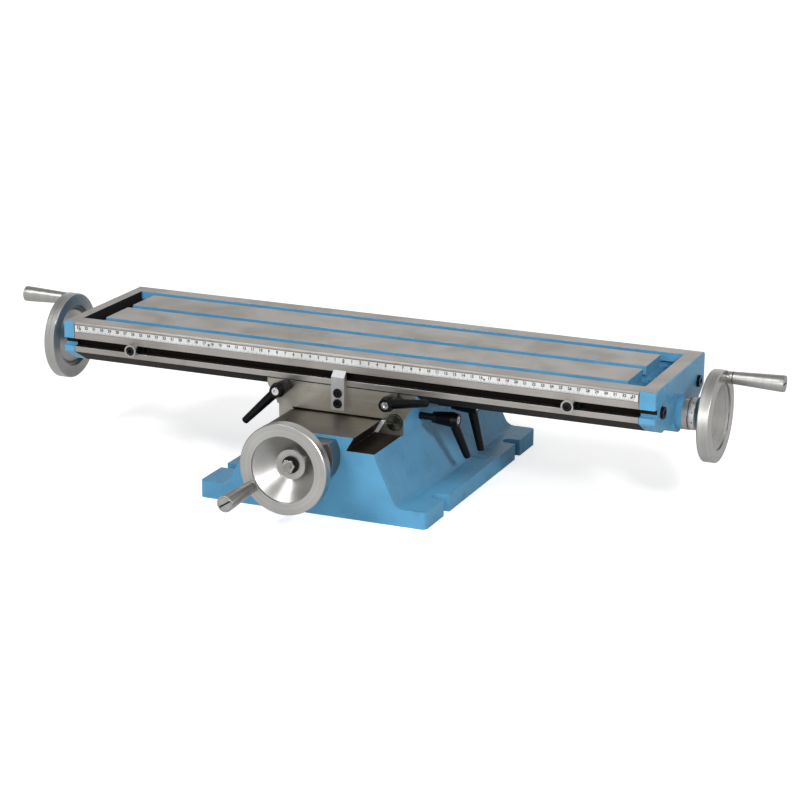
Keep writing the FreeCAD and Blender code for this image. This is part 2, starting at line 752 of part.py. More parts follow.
RIGHT_FACE = "(table_length / 2 + right_bracket + boss_length + end_play + dial_length)"
LEFT_FACE = "(table_length / 2 + left_bracket + left_boss_length + end_play + dial_length)"


def stub(shoulder, hub_back):
    """The end of a leadscrew from its shoulder out: journal, wheel seat and threaded tip."""
    journal = "%s - dial_length" % hub_back
    seat = "%s + hub_thick" % hub_back
    tip = "%s + washer_thick + nut_thick + stud_stand" % seat
    return [("screw_radius", shoulder), ("journal_radius", shoulder), ("journal_radius", journal),
            ("seat_radius", journal), ("seat_radius", seat), ("stud_radius", seat), ("stud_radius", tip),
            ("0", tip)]


def build_long_screw():
    body = add_body("long_screw")
    shoulder = "table_length / 2 - end_play"
    left = [(radius, "-1 * (%s)" % height) for radius, height in reversed(stub(shoulder, LEFT_FACE))]
    turn(body, left + stub(shoulder, RIGHT_FACE))
    place(body, "table_x", "slide_y", "screw_level", "right")


FRONT_FACE = "(base_depth / 2 + bearing_thick + front_boss_length + end_play + dial_length)"


def build_cross_screw():
    body = add_body("cross_screw")
    rear = "base_depth / 2 - end_wall - end_play"
    points = [("0", "head_gap - base_depth / 2"), ("seat_radius", "head_gap - base_depth / 2"),
              ("seat_radius", "-1 * (%s)" % rear), ("screw_radius", "-1 * (%s)" % rear)]
    turn(body, points + stub("(base_depth / 2 - end_play)", FRONT_FACE))
    place(body, "cross_x", "0", "cross_level", "front")


def build_dial(label, x, y, z, facing):
    body = add_body(label)
    bore = "seat_radius + fit_clearance"
    edge = "dial_radius - dial_chamfer"
    turn(body, [(bore, "0"), (edge, "0"), ("dial_radius", "dial_chamfer"),
                ("dial_radius", "dial_length - end_play - dial_chamfer"), (edge, "dial_length - end_play"),
                (bore, "dial_length - end_play")])
    place(body, x, y, z, facing)


def build_dials():
    build_dial("right_dial", "table_x + %s - dial_length" % RIGHT_FACE, "slide_y", "screw_level", "right")
    build_dial("front_dial", "cross_x", "dial_length - %s" % FRONT_FACE, "cross_level", "front")


def build_wheel(name, x, y, z, facing, angle):
    """A dished handwheel standing on its hub, with the tapped hole for its handle."""
    body = add_body(name + "_wheel")
    rim = "hub_sink + hub_thick"
    bore = "seat_radius + fit_clearance"
    turn(body, [
        (bore, "0"), ("hub_back_radius", "0"), ("web_back_radius", "%s - web_back_sink" % rim),
        ("rim_inner", "%s - web_back_sink" % rim), ("rim_inner", "%s - rim_thick" % rim),
        ("wheel_radius - wheel_edge", "%s - rim_thick" % rim),
        ("wheel_radius", "%s - rim_thick + wheel_edge" % rim), ("wheel_radius", "%s - wheel_edge" % rim),
        ("wheel_radius - wheel_edge", rim), ("rim_inner", rim), ("rim_inner", "%s - rim_lip" % rim),
        ("hub_radius", "hub_thick"), (bore, "hub_thick")])
    tapping = ("handle_circle", "0", "grip_bolt + fit_clearance")
    pocket(body, "XY", "%s - grip_thread" % rim, rim, circles=[tapping])
    place(body, x, y, z, facing, angle)


def build_wheel_washer(name, x, y, z, facing):
    body = add_body(name + "_washer")
    hole = ("0", "0", "stud_radius + fit_clearance")
    pad(body, "XY", "0", "washer_thick", circles=[("0", "0", "washer_radius"), hole])
    place(body, x, y, z, facing)


def build_wheel_nut(name, x, y, z, facing):
    body = add_body(name + "_nut")
    pad(body, "XY", "0", "nut_thick", [hexagon("nut_flats")], [("0", "0", "stud_radius + fit_clearance")])
    place(body, x, y, z, facing)


def build_handle(name, x, y, z, facing):
    body = add_body(name + "_handle")
    bore = "grip_bolt + fit_clearance"
    head = "grip_length - grip_head_thick"
    turn(body, [(bore, "end_play"), ("grip_root", "end_play"), ("grip_end", "grip_length - grip_end / 2"),
                ("grip_end", "grip_length"), ("grip_head + grip_head_gap", "grip_length"),
                ("grip_head + grip_head_gap", "%s - end_play" % head), (bore, "%s - end_play" % head)])
    place(body, x, y, z, facing)


def build_handle_bolt(name, x, y, z, facing, turned):
    body = add_body(name + "_handle_bolt")
    head = "grip_length - grip_head_thick"
    turn(body, [("0", "head_gap - grip_thread"), ("grip_bolt", "head_gap - grip_thread"), ("grip_bolt", head),
                ("grip_head", head), ("grip_head", "grip_length"), ("0", "grip_length")])
    pocket(body, "XY", "grip_length - screw_slot", "grip_length",
           [box("-grip_head", "grip_head", "-screw_slot / 2", "screw_slot / 2")])
    place(body, x, y, z, facing, turned)


def build_left_spacer():
    body = add_body("left_spacer")
    bore = "seat_radius + fit_clearance"
    turn(body, [(bore, "0"), ("dial_radius", "0"), ("dial_radius", "dial_length"), (bore, "dial_length")])
    place(body, "table_x - %s + dial_length" % LEFT_FACE, "slide_y", "screw_level", "left")


def build_handwheels():
    wheels = [
        ("right", "table_x + %s" % RIGHT_FACE, "slide_y", "screw_level", "right", "90 - handle_lean"),
        ("left", "table_x - %s" % LEFT_FACE, "slide_y", "screw_level", "left", "90 + handle_lean"),
        ("front", "cross_x", "-1 * %s" % FRONT_FACE, "cross_level", "front", "front_handle_angle")]
    for name, x, y, z, facing, angle in wheels:
        build_wheel(name, x, y, z, facing, angle)
        outward = FACINGS[facing].multVec(FreeCAD.Vector(0, 0, 1))
        along = FACINGS[facing].multVec(FreeCAD.Vector(1, 0, 0))

        def step(height, radius):
            return (shifted(x, outward.x, height, along.x, radius, angle),
                    shifted(y, outward.y, height, along.y, radius, angle),
                    "%s + (%s) * sin(%s)" % (z, radius, angle))
        build_wheel_washer(name, *step("hub_thick", "0"), facing)
        build_wheel_nut(name, *step("hub_thick + washer_thick", "0"), facing)
        build_handle(name, *step("hub_sink + hub_thick", "handle_circle"), facing)
        turned = "front_slot_angle" if name == "front" else "0"
        build_handle_bolt(name, *step("hub_sink + hub_thick", "handle_circle"), facing, turned)


def shifted(centre, outward, height, along, radius, angle):
    """One coordinate of a point at a height and radius on a wheel."""
    sideways = "%d * (%s) * cos(%s)" % (round(along), radius, angle)
    return "%s + %d * (%s) + %s" % (centre, round(outward), height, sideways)


def build_lever(name, x, y, z, facing, angle, reach, inner):
    """A clamping lever in three pieces: threaded stud, arm and the cap screw that keeps the arm."""
    stud = add_body(name + "_stud")
    neck = "%s - lever_collar_height" % reach
    spigot = "%s + lever_spigot_height" % reach
    thread = "lever_cap_stem + fit_clearance"
    turn(stud, [("0", "-1 * (%s)" % inner), ("stud_radius", "-1 * (%s)" % inner), ("stud_radius", neck),
                ("lever_collar", neck), ("lever_collar", reach), ("lever_spigot", reach),
                ("lever_spigot", spigot), (thread, spigot), (thread, "%s - lever_cap_thread" % spigot),
                ("0", "%s - lever_cap_thread" % spigot)])
    place(stud, x, y, z, facing)
    arm = add_body(name + "_arm")
    bore = "lever_spigot + fit_clearance"
    roof = "lever_spigot_height + head_gap"
    turn(arm, [(bore, "0"), ("lever_hub_base", "0"), ("lever_hub_radius", "lever_shoulder"),
               ("lever_hub_top", "lever_hub_height"), ("lever_cap_bore", "lever_hub_height"),
               ("lever_cap_bore", "lever_shoulder"), (thread, "lever_shoulder"), (thread, roof),
               (bore, roof)])
    ends = []
    for offset, level, radius in (("lever_arm_start", "lever_arm_level", "lever_arm_root"),
                                  ("lever_length", "lever_arm_level + lever_tilt", "lever_arm_tip")):
        sketch = add_sketch(arm, "YZ", offset)
        draw_circle(sketch, "0", level, radius)
        sketch.Visibility = False
        ends.append(sketch)
    loft = arm.newObject("PartDesign::AdditiveLoft", arm.Name + "_feature")
    loft.Profile = ends[0]
    loft.Sections = [ends[1]]
    arm.Tip = loft
    tip = value("lever_length")
    dress(arm, "PartDesign::Fillet", "lever_tip_round", lambda middle, way: near(middle.x, tip))
    place(arm, *outward(x, y, z, facing, reach), facing, angle)
    cap = add_body(name + "_cap_screw")
    head = "lever_cap_level + lever_cap_thick"
    pad(cap, "XY", "lever_cap_level", head, circles=[("0", "0", "lever_cap")])
    pocket(cap, "XY", "%s - lever_cap_depth" % head, head, [hexagon("lever_cap_socket")])
    pad(cap, "XY", "lever_spigot_height - lever_cap_thread + head_gap", "lever_cap_level",
        circles=[("0", "0", "lever_cap_stem")])
    place(cap, *outward(x, y, z, facing, reach), facing, angle)


def outward(x, y, z, facing, height):
    """The point at a height along a facing from a point of the sheet."""
    way = FACINGS[facing].multVec(FreeCAD.Vector(0, 0, 1))
    return tuple("%s + %d * (%s)" % (text, round(part), height) for text, part in zip((x, y, z), way))


def build_levers():
    bevel_slope = "bevel_in / bevel_down"
    front_bite = "(%s - front_lever_level - stud_radius) * %s - gib_inset" % (SILL, bevel_slope)
    for name, side in (("left_lever", -1), ("right_lever", 1)):
        x = "saddle_x + %d * front_lever_x" % side
        build_lever(name, x, SADDLE_FRONT, "front_lever_level", "front", name + "_angle",
                    "front_lever_reach", front_bite)
    side_face = "saddle_x + saddle_leg_half + saddle_ledge"
    side_bite = "%s - %s - gib_inset" % (side_face, RIGHT_FLANK)
    for name, steps in (("side_lever_a", 0), ("side_lever_b", 1)):
        y = "side_lever_y + %d * side_lever_pitch" % steps
        reach = "side_lever_reach - saddle_ledge"
        build_lever(name, side_face, y, "side_lever_level", "right", name + "_angle", reach, side_bite)


def build_stops():
    for name, side in (("left", -1), ("right", 1)):
        x = "table_x + %d * (table_length / 2 - stop_inset)" % side
        front = "slide_y - %s" % TABLE_EDGE
        ring = add_body(name + "_stop")
        floor = "stop_stand - small_head_thick"
        hole = "small_head + shoe_gap"
        bore = "small_thread + fit_clearance"
        turn(ring, [(bore, "0"), ("stop_radius", "0"), ("stop_radius", "stop_stand"),
                    (hole, "stop_stand"), (hole, floor), (bore, floor)])
        place(ring, x, front, "groove_level", "front")
        reach = "%s + groove_throat + groove_tee_depth - shoe_gap" % floor
        screw = socket_screws(name + "_stop_screw", [("0", "0")], "small", reach)
        place(screw, x, "%s - (%s)" % (front, floor), "groove_level", "front")
        shoe = add_body(name + "_stop_shoe")
        high = "groove_tee_width / 2 - shoe_gap"
        deep = "shoe_gap - groove_throat - groove_tee_depth"
        plan = box("-shoe_length / 2", "shoe_length / 2", "-1 * (%s)" % high, high)
        pad(shoe, "XY", deep, "-groove_throat", [plan], [("0", "0", bore)])
        place(shoe, x, front, "groove_level", "front")


build_base()
build_cross_bearing()
build_bearing_screws()
build_saddle()
build_cross_gib()
build_long_gib()
build_gib_screws()
build_long_nut()
build_cross_nut()
build_stop_block()
build_stop_block_screws()
build_table()
build_rule()
build_rule_rivets()
build_bracket("right_bracket", "right_bracket", "boss_length", 1)
build_bracket("left_bracket", "left_bracket", "left_boss_length", -1)
build_bracket_screws("right_bracket_screws", "right_bracket", 1, "right")
build_bracket_screws("left_bracket_screws", "left_bracket", -1, "left")
build_long_screw()
build_cross_screw()
build_dials()
build_left_spacer()
build_handwheels()
build_levers()
build_stops()

doc.recompute()
for item in doc.Objects:
    if "Invalid" in item.State or "Error" in item.State:
        raise RuntimeError("%s failed: %s" % (item.Label, item.State))
for node in nodes:
    if node.Shape.isNull() or not node.Shape.isValid() or not node.Shape.Solids:
        raise RuntimeError("%s has no valid solid" % node.Label)
for node in nodes:
    node.Shape.exportStep("parts/%s.step" % node.Label)
print("%d nodes, %d solids" % (len(nodes), sum(len(node.Shape.Solids) for node in nodes)))
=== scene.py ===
"""The looks of a cross slide table: finishes, scale markings, screw threads, studio and camera.

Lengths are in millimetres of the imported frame, except where a mesh or a shader takes them in
metres. The studio is given in metres throughout.
"""
import logging
import math
from dataclasses import dataclass
from enum import Enum
from functools import cached_property

import bpy
from mathutils import Matrix, Vector


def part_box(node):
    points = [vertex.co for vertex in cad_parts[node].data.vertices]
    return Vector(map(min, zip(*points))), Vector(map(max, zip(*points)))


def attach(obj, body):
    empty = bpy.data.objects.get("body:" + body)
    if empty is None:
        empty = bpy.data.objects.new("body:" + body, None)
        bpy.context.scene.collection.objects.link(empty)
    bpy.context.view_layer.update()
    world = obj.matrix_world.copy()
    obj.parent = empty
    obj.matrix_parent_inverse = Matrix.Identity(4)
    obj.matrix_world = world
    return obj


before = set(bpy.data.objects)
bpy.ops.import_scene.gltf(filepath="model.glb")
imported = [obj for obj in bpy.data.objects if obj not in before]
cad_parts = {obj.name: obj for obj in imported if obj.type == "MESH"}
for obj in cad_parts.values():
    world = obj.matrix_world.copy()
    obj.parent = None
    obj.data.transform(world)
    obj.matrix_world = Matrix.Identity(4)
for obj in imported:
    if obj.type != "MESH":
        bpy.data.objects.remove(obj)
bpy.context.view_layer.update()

MM = 0.001
log = logging.getLogger("cross_slide_table")

Triple = tuple[float, float, float]
Pair = tuple[float, float]
Cut = tuple[float | None, float | None]
Colour = Triple
Socket = bpy.types.NodeSocket
Node = bpy.types.Node
Tree = bpy.types.NodeTree
Material = bpy.types.Material
Piece = bpy.types.Object

ORIGIN: Triple = (0.0, 0.0, 0.0)
UPWARD: Triple = (0.0, 0.0, 1.0)
# How far a zone reaches past the box of its node.
BEYOND = 1.0
# How deep half a digit is, and how much of a text's size its digits take up.
INK_DEPTH, DIGIT_SHARE = 0.02, 0.7
# The parts of a noise's range that are spread over a pattern.
WIDE: Pair = (0.25, 0.75)
NARROW: Pair = (0.3, 0.7)


class Axis(Enum):
    """The direction that a turned piece is turned about."""

    X = (1.0, 0.0, 0.0)
    Y = (0.0, 1.0, 0.0)

    @property
    def number(self) -> int:
        """Its place among X, Y and Z."""
        return self.value.index(1.0)


class Lay(Enum):
    """The direction of a grinding wheel's marks, as their number in a metre along X, Y and Z."""

    ALONG_X = (14.0, 1400.0, 1400.0)
    ALONG_Y = (1400.0, 14.0, 1400.0)


class Graph:
    """A shader node tree that is being wired."""

    def __init__(self, tree: Tree) -> None:
        """Keep the tree that the nodes go into."""
        self.tree = tree

    def feed(self, node: Node, values: dict) -> None:
        """Give a node's inputs their links or values.

        Args:
            node: The node that takes them.
            values: A socket or a constant for each input, by name or number.
        """
        for key, value in values.items():
            if isinstance(value, Socket):
                self.tree.links.new(value, node.inputs[key])
            else:
                node.inputs[key].default_value = value

    def add(self, kind: str, inputs: dict | None = None, **settings: object) -> Node:
        """Place a node.

        Args:
            kind: Its type, without the leading ShaderNode.
            inputs: What feed() gives its inputs.
            settings: Its own properties.

        Returns:
            The node.
        """
        node = self.tree.nodes.new("ShaderNode" + kind)
        for name, value in settings.items():
            setattr(node, name, value)
        self.feed(node, inputs or {})
        return node

    def math(self, operation: str, first: object, second: object = 0.0,
             clamp: bool = False) -> Socket:
        """One step of arithmetic on numbers."""
        inputs = {0: first, 1: second}
        return self.add("Math", inputs, operation=operation, use_clamp=clamp).outputs[0]

    def times(self, first: object, second: object, clamp: bool = False) -> Socket:
        """The product of two numbers."""
        return self.math("MULTIPLY", first, second, clamp)

    def rest(self, share: object) -> Socket:
        """What a share leaves of 1."""
        return self.math("SUBTRACT", 1.0, share)

    def vector(self, operation: str, first: object, second: object = ORIGIN,
               output: str = "Vector") -> Socket:
        """One step of arithmetic on vectors, whose output is a Vector or a Value."""
        inputs = {0: first, 1: second}
        return self.add("VectorMath", inputs, operation=operation).outputs[output]

    def toned(self, colour: Colour, factor: Socket) -> Socket:
        """A colour times a factor."""
        inputs = {0: colour, "Scale": factor}
        return self.add("VectorMath", inputs, operation="SCALE").outputs["Vector"]

    def blend(self, share: object, first: object, second: object) -> Socket:
        """A colour between two others: the first where share is 0, the second where it is 1."""
        first, second = (side if isinstance(side, Socket) else (*side, 1.0)
                         for side in (first, second))
        return self.add("Mix", {0: share, 6: first, 7: second}, data_type="RGBA").outputs[2]

    def between(self, share: object, low: object, high: object) -> Socket:
        """A number between two others: low where share is 0, high where it is 1."""
        return self.add("Mix", {0: share, 2: low, 3: high}, data_type="FLOAT").outputs[0]

    def ramp(self, value: object, start: float, end: float,
             low: float = 0.0, high: float = 1.0) -> Socket:
        """A number brought from the range start..end to low..high, and held there."""
        keys = {"Value": value, "From Min": start, "From Max": end, "To Min": low, "To Max": high}
        return self.add("MapRange", keys, clamp=True).outputs["Result"]

    def noise(self, place: Socket, scale: float, detail: float = 2.0, distortion: float = 0.0,
              line: bool = False) -> Socket:
        """Soft noise from 0 to 1, at a vector, or at a number for noise along a line."""
        inputs = {"W" if line else "Vector": place, "Scale": scale, "Detail": detail,
                  "Distortion": distortion}
        return self.add("TexNoise", inputs, noise_dimensions="1D" if line else "3D").outputs[0]


class Group(Graph):
    """A shader group that is being wired."""

    def __init__(self, name: str, outputs: tuple[str, ...], **inputs: object) -> None:
        """Start the group, whose first input is a Point.

        Args:
            name: Its name.
            outputs: The names of its outputs; Normal is a vector and the others are numbers.
            inputs: The first value of each further input.
        """
        super().__init__(bpy.data.node_groups.new(name, "ShaderNodeTree"))
        for label, value in {"Point": ORIGIN, **inputs}.items():
            self._socket(label, "INPUT", isinstance(value, tuple)).default_value = value
        for label in outputs:
            self._socket(label, "OUTPUT", label == "Normal")
        self.given = self.tree.nodes.new("NodeGroupInput").outputs
        self.point = self.given["Point"]
        self.result = self.tree.nodes.new("NodeGroupOutput")

    def _socket(self, label: str, way: str, is_vector: bool) -> bpy.types.NodeTreeInterfaceSocket:
        """Add a socket to the group."""
        kind = "NodeSocketVector" if is_vector else "NodeSocketFloat"
        return self.tree.interface.new_socket(label, in_out=way, socket_type=kind)

    def arm(self) -> Socket:
        """The way from the Centre to the Point."""
        return self.vector("SUBTRACT", self.point, self.given["Centre"])

    def close(self, **outputs: Socket) -> Tree:
        """Give the outputs their values and hand over the tree."""
        self.feed(self.result, outputs)
        return self.tree


class Effects:
    """The shader groups that the finishes share, each built when it is first used."""

    # Patterns are sized by how many of their features go into a metre.
    mask_edge = 0.05 * MM
    chips, chip_range, wear_gain = 160.0, (0.35, 0.7), 9.0
    bands, band_share = 0.12, 0.45
    # The slant is how much the place along the axis counts, so that end faces are ringed too.
    fine_rings, broad_rings, ring_share, slant = 3600.0, 330.0, 0.25, 0.93
    peel, waves, wave_share, mottling = 520.0, 70.0, 0.8, 22.0
    swirl, patch_range, specks, speck_range = 0.6, (0.42, 0.72), 900.0, (0.69, 0.76)

    @cached_property
    def inside_box(self) -> Tree:
        """1 where a point lies in a box, 0 outside it."""
        graph = Group("inside box", ("Mask",), Low=ORIGIN, High=ORIGIN)
        nearest = None
        for first, second in (("Point", "Low"), ("High", "Point")):
            gap = graph.vector("SUBTRACT", graph.given[first], graph.given[second])
            for part in graph.add("SeparateXYZ", {0: gap}).outputs:
                nearest = part if nearest is None else graph.math("MINIMUM", nearest, part)
        return graph.close(Mask=graph.ramp(nearest, 0.0, self.mask_edge))

    @cached_property
    def edge_wear(self) -> Tree:
        """1 along sharp edges, broken up by noise, 0 on flats."""
        graph = Group("edge wear", ("Mask",), Radius=0.001, Amount=0.5)
        rounded = graph.add("Bevel", {"Radius": graph.given["Radius"]}, samples=4)
        flat = graph.add("NewGeometry").outputs["Normal"]
        even = graph.vector("DOT_PRODUCT", rounded.outputs["Normal"], flat, "Value")
        chips = graph.noise(graph.point, self.chips, detail=5.0)
        gain = graph.times(graph.rest(even), self.wear_gain)
        strong = graph.times(gain, graph.ramp(chips, *self.chip_range))
        return graph.close(Mask=graph.times(strong, graph.given["Amount"], clamp=True))

    @cached_property
    def grinding(self) -> Tree:
        """Fine lines that a grinding wheel leaves, as a height and a tone."""
        graph = Group("grinding marks", ("Height", "Tone"), Lay=Lay.ALONG_X.value)
        laid = graph.vector("MULTIPLY", graph.point, graph.given["Lay"])
        fine = graph.noise(laid, 1.0, detail=3.0)
        broad = graph.noise(laid, self.bands)
        return graph.close(Height=fine, Tone=graph.between(self.band_share, fine, broad))

    @cached_property
    def turning(self) -> Tree:
        """Rings that a lathe leaves about an axis, as a height and a tone."""
        outputs = ("Height", "Tone", "Radius")
        graph = Group("turning marks", outputs, Centre=ORIGIN, Axis=UPWARD)
        arm, axis = graph.arm(), graph.given["Axis"]
        along = graph.vector("DOT_PRODUCT", arm, axis, "Value")
        across = graph.vector("CROSS_PRODUCT", arm, axis)
        radius = graph.vector("LENGTH", across, output="Value")
        ring = graph.math("ADD", radius, graph.times(along, self.slant))
        fine = graph.noise(ring, self.fine_rings, line=True)
        broad = graph.noise(ring, self.broad_rings, detail=3.0, line=True)
        height = graph.between(self.ring_share, fine, broad)
        return graph.close(Height=height, Tone=broad, Radius=radius)

    @cached_property
    def casting(self) -> Tree:
        """The skin of a painted casting, as a height and a tone."""
        graph = Group("casting skin", ("Height", "Tone"))
        peel = graph.noise(graph.point, self.peel)
        waves = graph.noise(graph.point, self.waves, detail=3.0)
        tone = graph.noise(graph.point, self.mottling, detail=4.0)
        return graph.close(Height=graph.between(self.wave_share, peel, waves), Tone=tone)

    @cached_property
    def soiling(self) -> Tree:
        """Patches of old oil and specks of dirt, each from 0 to 1."""
        graph = Group("soiling", ("Patches", "Specks"), Size=20.0)
        size = graph.given["Size"]
        patches = graph.noise(graph.point, size, detail=6.0, distortion=self.swirl)
        specks = graph.noise(graph.point, self.specks, detail=1.0)
        return graph.close(Patches=graph.ramp(patches, *self.patch_range),
                           Specks=graph.ramp(specks, *self.speck_range))

    @cached_property
    def around(self) -> Tree:
        """The direction of the rings about an axis, for a shader's tangent."""
        graph = Group("direction of rings", ("Normal",), Centre=ORIGIN, Axis=UPWARD)
        ring = graph.vector("CROSS_PRODUCT", graph.given["Axis"], graph.arm())
        turned = graph.add("VectorTransform", {"Vector": ring}, vector_type="VECTOR",
                           convert_from="OBJECT", convert_to="WORLD")
        return graph.close(Normal=graph.vector("NORMALIZE", turned.outputs["Vector"]))


@dataclass(frozen=True)
class Zone:
    """A box of the frame: all of a CAD node, or what takes another finish than the rest of it."""

    low: Triple
    high: Triple

    @classmethod
    def of(cls, node: str) -> "Zone":
        """The box of the node with that name."""
        return cls(*(tuple(part / MM for part in corner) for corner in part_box(node)))

    def cut(self, **cuts: Cut) -> "Zone":
        """A zone that reaches past this one all round, except where it is cut.

        Args:
            cuts: For X, Y or Z, where the zone starts and ends, or None where it isn't cut.

        Returns:
            The zone.
        """
        low = [part - BEYOND for part in self.low]
        high = [part + BEYOND for part in self.high]
        for name, (start, end) in cuts.items():
            number = "XYZ".index(name)
            low[number] = low[number] if start is None else start
            high[number] = high[number] if end is None else end
        return Zone(tuple(low), tuple(high))


def empty_tree(owner: bpy.types.ID) -> Tree:
    """The node tree of a material or a world, with nothing in it."""
    owner.use_nodes = True
    owner.node_tree.nodes.clear()
    return owner.node_tree


class Site(Graph):
    """The tree of a material that is being made, with what every finish needs there."""

    def __init__(self, material: Material, effects: Effects) -> None:
        """Empty the material's tree and read the position on the object."""
        super().__init__(empty_tree(material))
        self.effects = effects
        self.point = self.add("TexCoord").outputs["Object"]

    def group(self, tree: Tree, **inputs: object) -> bpy.types.NodeOutputs:
        """The outputs of a shader group at this position."""
        return self.add("Group", {"Point": self.point, **inputs}, node_tree=tree).outputs

    def inside(self, zones: tuple[Zone, ...]) -> object:
        """1 in any of the zones, and plain 0.0 where there is none."""
        total: object = 0.0
        for number, zone in enumerate(zones):
            low, high = (Vector(corner) * MM for corner in (zone.low, zone.high))
            mask = self.group(self.effects.inside_box, Low=low, High=high)["Mask"]
            total = mask if number == 0 else self.math("MAXIMUM", total, mask)
        return total


@dataclass(frozen=True)
class Surface:
    """What a finish hands to the shader: sockets or constants."""

    colour: object
    roughness: object
    metallic: object
    height: object
    depth: float


@dataclass(frozen=True)
class Finish:
    """A way to dress metal, paint or plastic. Each kind gives its own surface().

    Its shades are the factors on its colour, and its spread those on its roughness, from the
    darkest to the lightest place.
    """

    name: str
    colour: Colour
    roughness: float
    metallic: float = 0.0
    edge_radius: float = 0.5
    wear: float = 0.3
    worn: Colour = (0.5, 0.5, 0.5)
    specular: float = 0.5
    # Dark, dull zones: painted shade in hollows, gaps and undersides, and dark bands at joints.
    unwiped: tuple[Zone, ...] = ()
    grime: Colour = (0.016, 0.012, 0.009)
    grime_roughness: float = 0.6
    grime_cover: float = 0.8
    depth: float = 0.012
    shades: Pair = (0.86, 1.1)
    spread: Pair = (0.85, 1.15)
    worn_edge: float = 1.6

    def rough(self, site: Site, tone: Socket, part: Pair = NARROW) -> Socket:
        """The roughness, which changes with the tone."""
        return site.ramp(tone, *part, *(self.roughness * factor for factor in self.spread))

    def surface(self, site: Site) -> Surface:
        """The finish's own pattern, here plain with a cast skin."""
        skin = site.group(site.effects.casting)
        colour = site.toned(self.colour, site.ramp(skin["Tone"], *NARROW, *self.shades))
        rough = self.rough(site, skin["Tone"])
        return Surface(colour, rough, self.metallic, skin["Height"], self.depth)

    def darken(self, site: Site, clean: Surface) -> Surface:
        """The surface, dark and dull in its darkened zones: painted shade, and dark bands at
        joints.
        """
        if not self.unwiped:
            return clean
        dark = site.inside(self.unwiped)
        colour = site.blend(dark, clean.colour, self.grime)
        rough = site.between(dark, clean.roughness, self.grime_roughness)
        metal = site.times(clean.metallic, site.rest(site.times(dark, self.grime_cover)))
        return Surface(colour, rough, metal, clean.height, clean.depth)

    def extras(self, site: Site) -> dict:
        """Inputs of the shader that only some finishes have."""
        return {}

    def build(self, effects: Effects) -> Material:
        """Make the material, ready to be given to a node or piece."""
        material = bpy.data.materials.new(self.name)
        site = Site(material, effects)
        surface = self.darken(site, self.surface(site))
        radius = self.edge_radius * MM
        rounded = site.add("Bevel", {"Radius": radius}, samples=4).outputs["Normal"]
        wear = site.group(effects.edge_wear, Radius=self.worn_edge * radius, Amount=self.wear)
        bump = site.add("Bump", {"Distance": surface.depth * MM, "Height": surface.height,
                                 "Normal": rounded})
        shader = site.add("BsdfPrincipled", {
            "Base Color": site.blend(wear["Mask"], surface.colour, self.worn),
            "Roughness": surface.roughness,
            "Metallic": surface.metallic,
            "Normal": bump.outputs["Normal"],
            "Specular IOR Level": self.specular,
            **self.extras(site),
        })
        site.add("OutputMaterial", {"Surface": shader.outputs["BSDF"]})
        return material


@dataclass(frozen=True)
class GroundIron(Finish):
    """Iron off the surface grinder, dulled by oil in patches."""

    shades: Pair = (0.86, 1.14)
    spread: Pair = (0.9, 1.12)
    lay: Lay = Lay.ALONG_X
    soil: Colour = (0.16, 0.13, 0.10)
    soiled: float = 0.35
    speckled: float = 0.5
    patch: float = 18.0
    dulling: float = 0.18

    def surface(self, site: Site) -> Surface:
        """Fine parallel lines, oil patches and a few specks."""
        marks = site.group(site.effects.grinding, Lay=self.lay.value)
        dirt = site.group(site.effects.soiling, Size=self.patch)
        colour = site.toned(self.colour, site.ramp(marks["Tone"], *WIDE, *self.shades))
        share = site.times(dirt["Patches"], self.soiled)
        colour = site.blend(share, colour, self.soil)
        specks = site.times(dirt["Specks"], self.speckled * self.soiled)
        colour = site.blend(specks, colour, self.soil)
        rough = self.rough(site, marks["Tone"])
        rough = site.math("ADD", rough, site.times(share, self.dulling))
        return Surface(colour, rough, self.metallic, marks["Height"], self.depth)


@dataclass(frozen=True)
class TurnedMetal(Finish):
    """Metal off the lathe, ringed about its own axis."""

    depth: float = 0.004
    shades: Pair = (0.88, 1.1)
    spread: Pair = (0.85, 1.2)
    centre: Triple = ORIGIN
    axis: Axis = Axis.X
    brushed: float = 0.55
    soiled: float = 0.14
    patch: float = 45.0
    soil_shade: float = 0.5
    dulling: float = 0.25
    # A painted dark reflection, darker between two radii, as on a wheel's dish.
    dull_rings: Pair | None = None
    dullness: float = 0.32
    dull_shade: float = 0.4
    dull_edge: float = 0.2

    def surface(self, site: Site) -> Surface:
        """Concentric rings with a slow change of tone."""
        marks = site.group(site.effects.turning, **self.about())
        dirt = site.group(site.effects.soiling, Size=self.patch)
        colour = site.toned(self.colour, site.ramp(marks["Tone"], *WIDE, *self.shades))
        share = site.times(dirt["Patches"], self.soiled)
        colour = site.blend(share, colour, tuple(self.soil_shade * part for part in self.colour))
        # Painted dark reflection between the given radii.
        if self.dull_rings:
            near, far = (edge * MM for edge in self.dull_rings)
            soft = self.dull_edge * MM
            inside = site.times(site.ramp(marks["Radius"], near - soft, near + soft),
                                site.ramp(marks["Radius"], far + soft, far - soft))
            dark_reflection = tuple(self.dull_shade * part for part in self.colour)
            colour = site.blend(site.times(inside, self.dullness), colour, dark_reflection)
        rough = self.rough(site, marks["Tone"], WIDE)
        rough = site.math("ADD", rough, site.times(share, self.dulling))
        return Surface(colour, rough, self.metallic, marks["Height"], self.depth)

    def about(self) -> dict:
        """The axis that it is turned about, as a group's inputs."""
        return {"Centre": Vector(self.centre) * MM, "Axis": self.axis.value}

    def extras(self, site: Site) -> dict:
        """Stretch the highlight across the rings."""
        rings = site.group(site.effects.around, **self.about())
        return {"Anisotropic": self.brushed, "Tangent": rings["Normal"]}


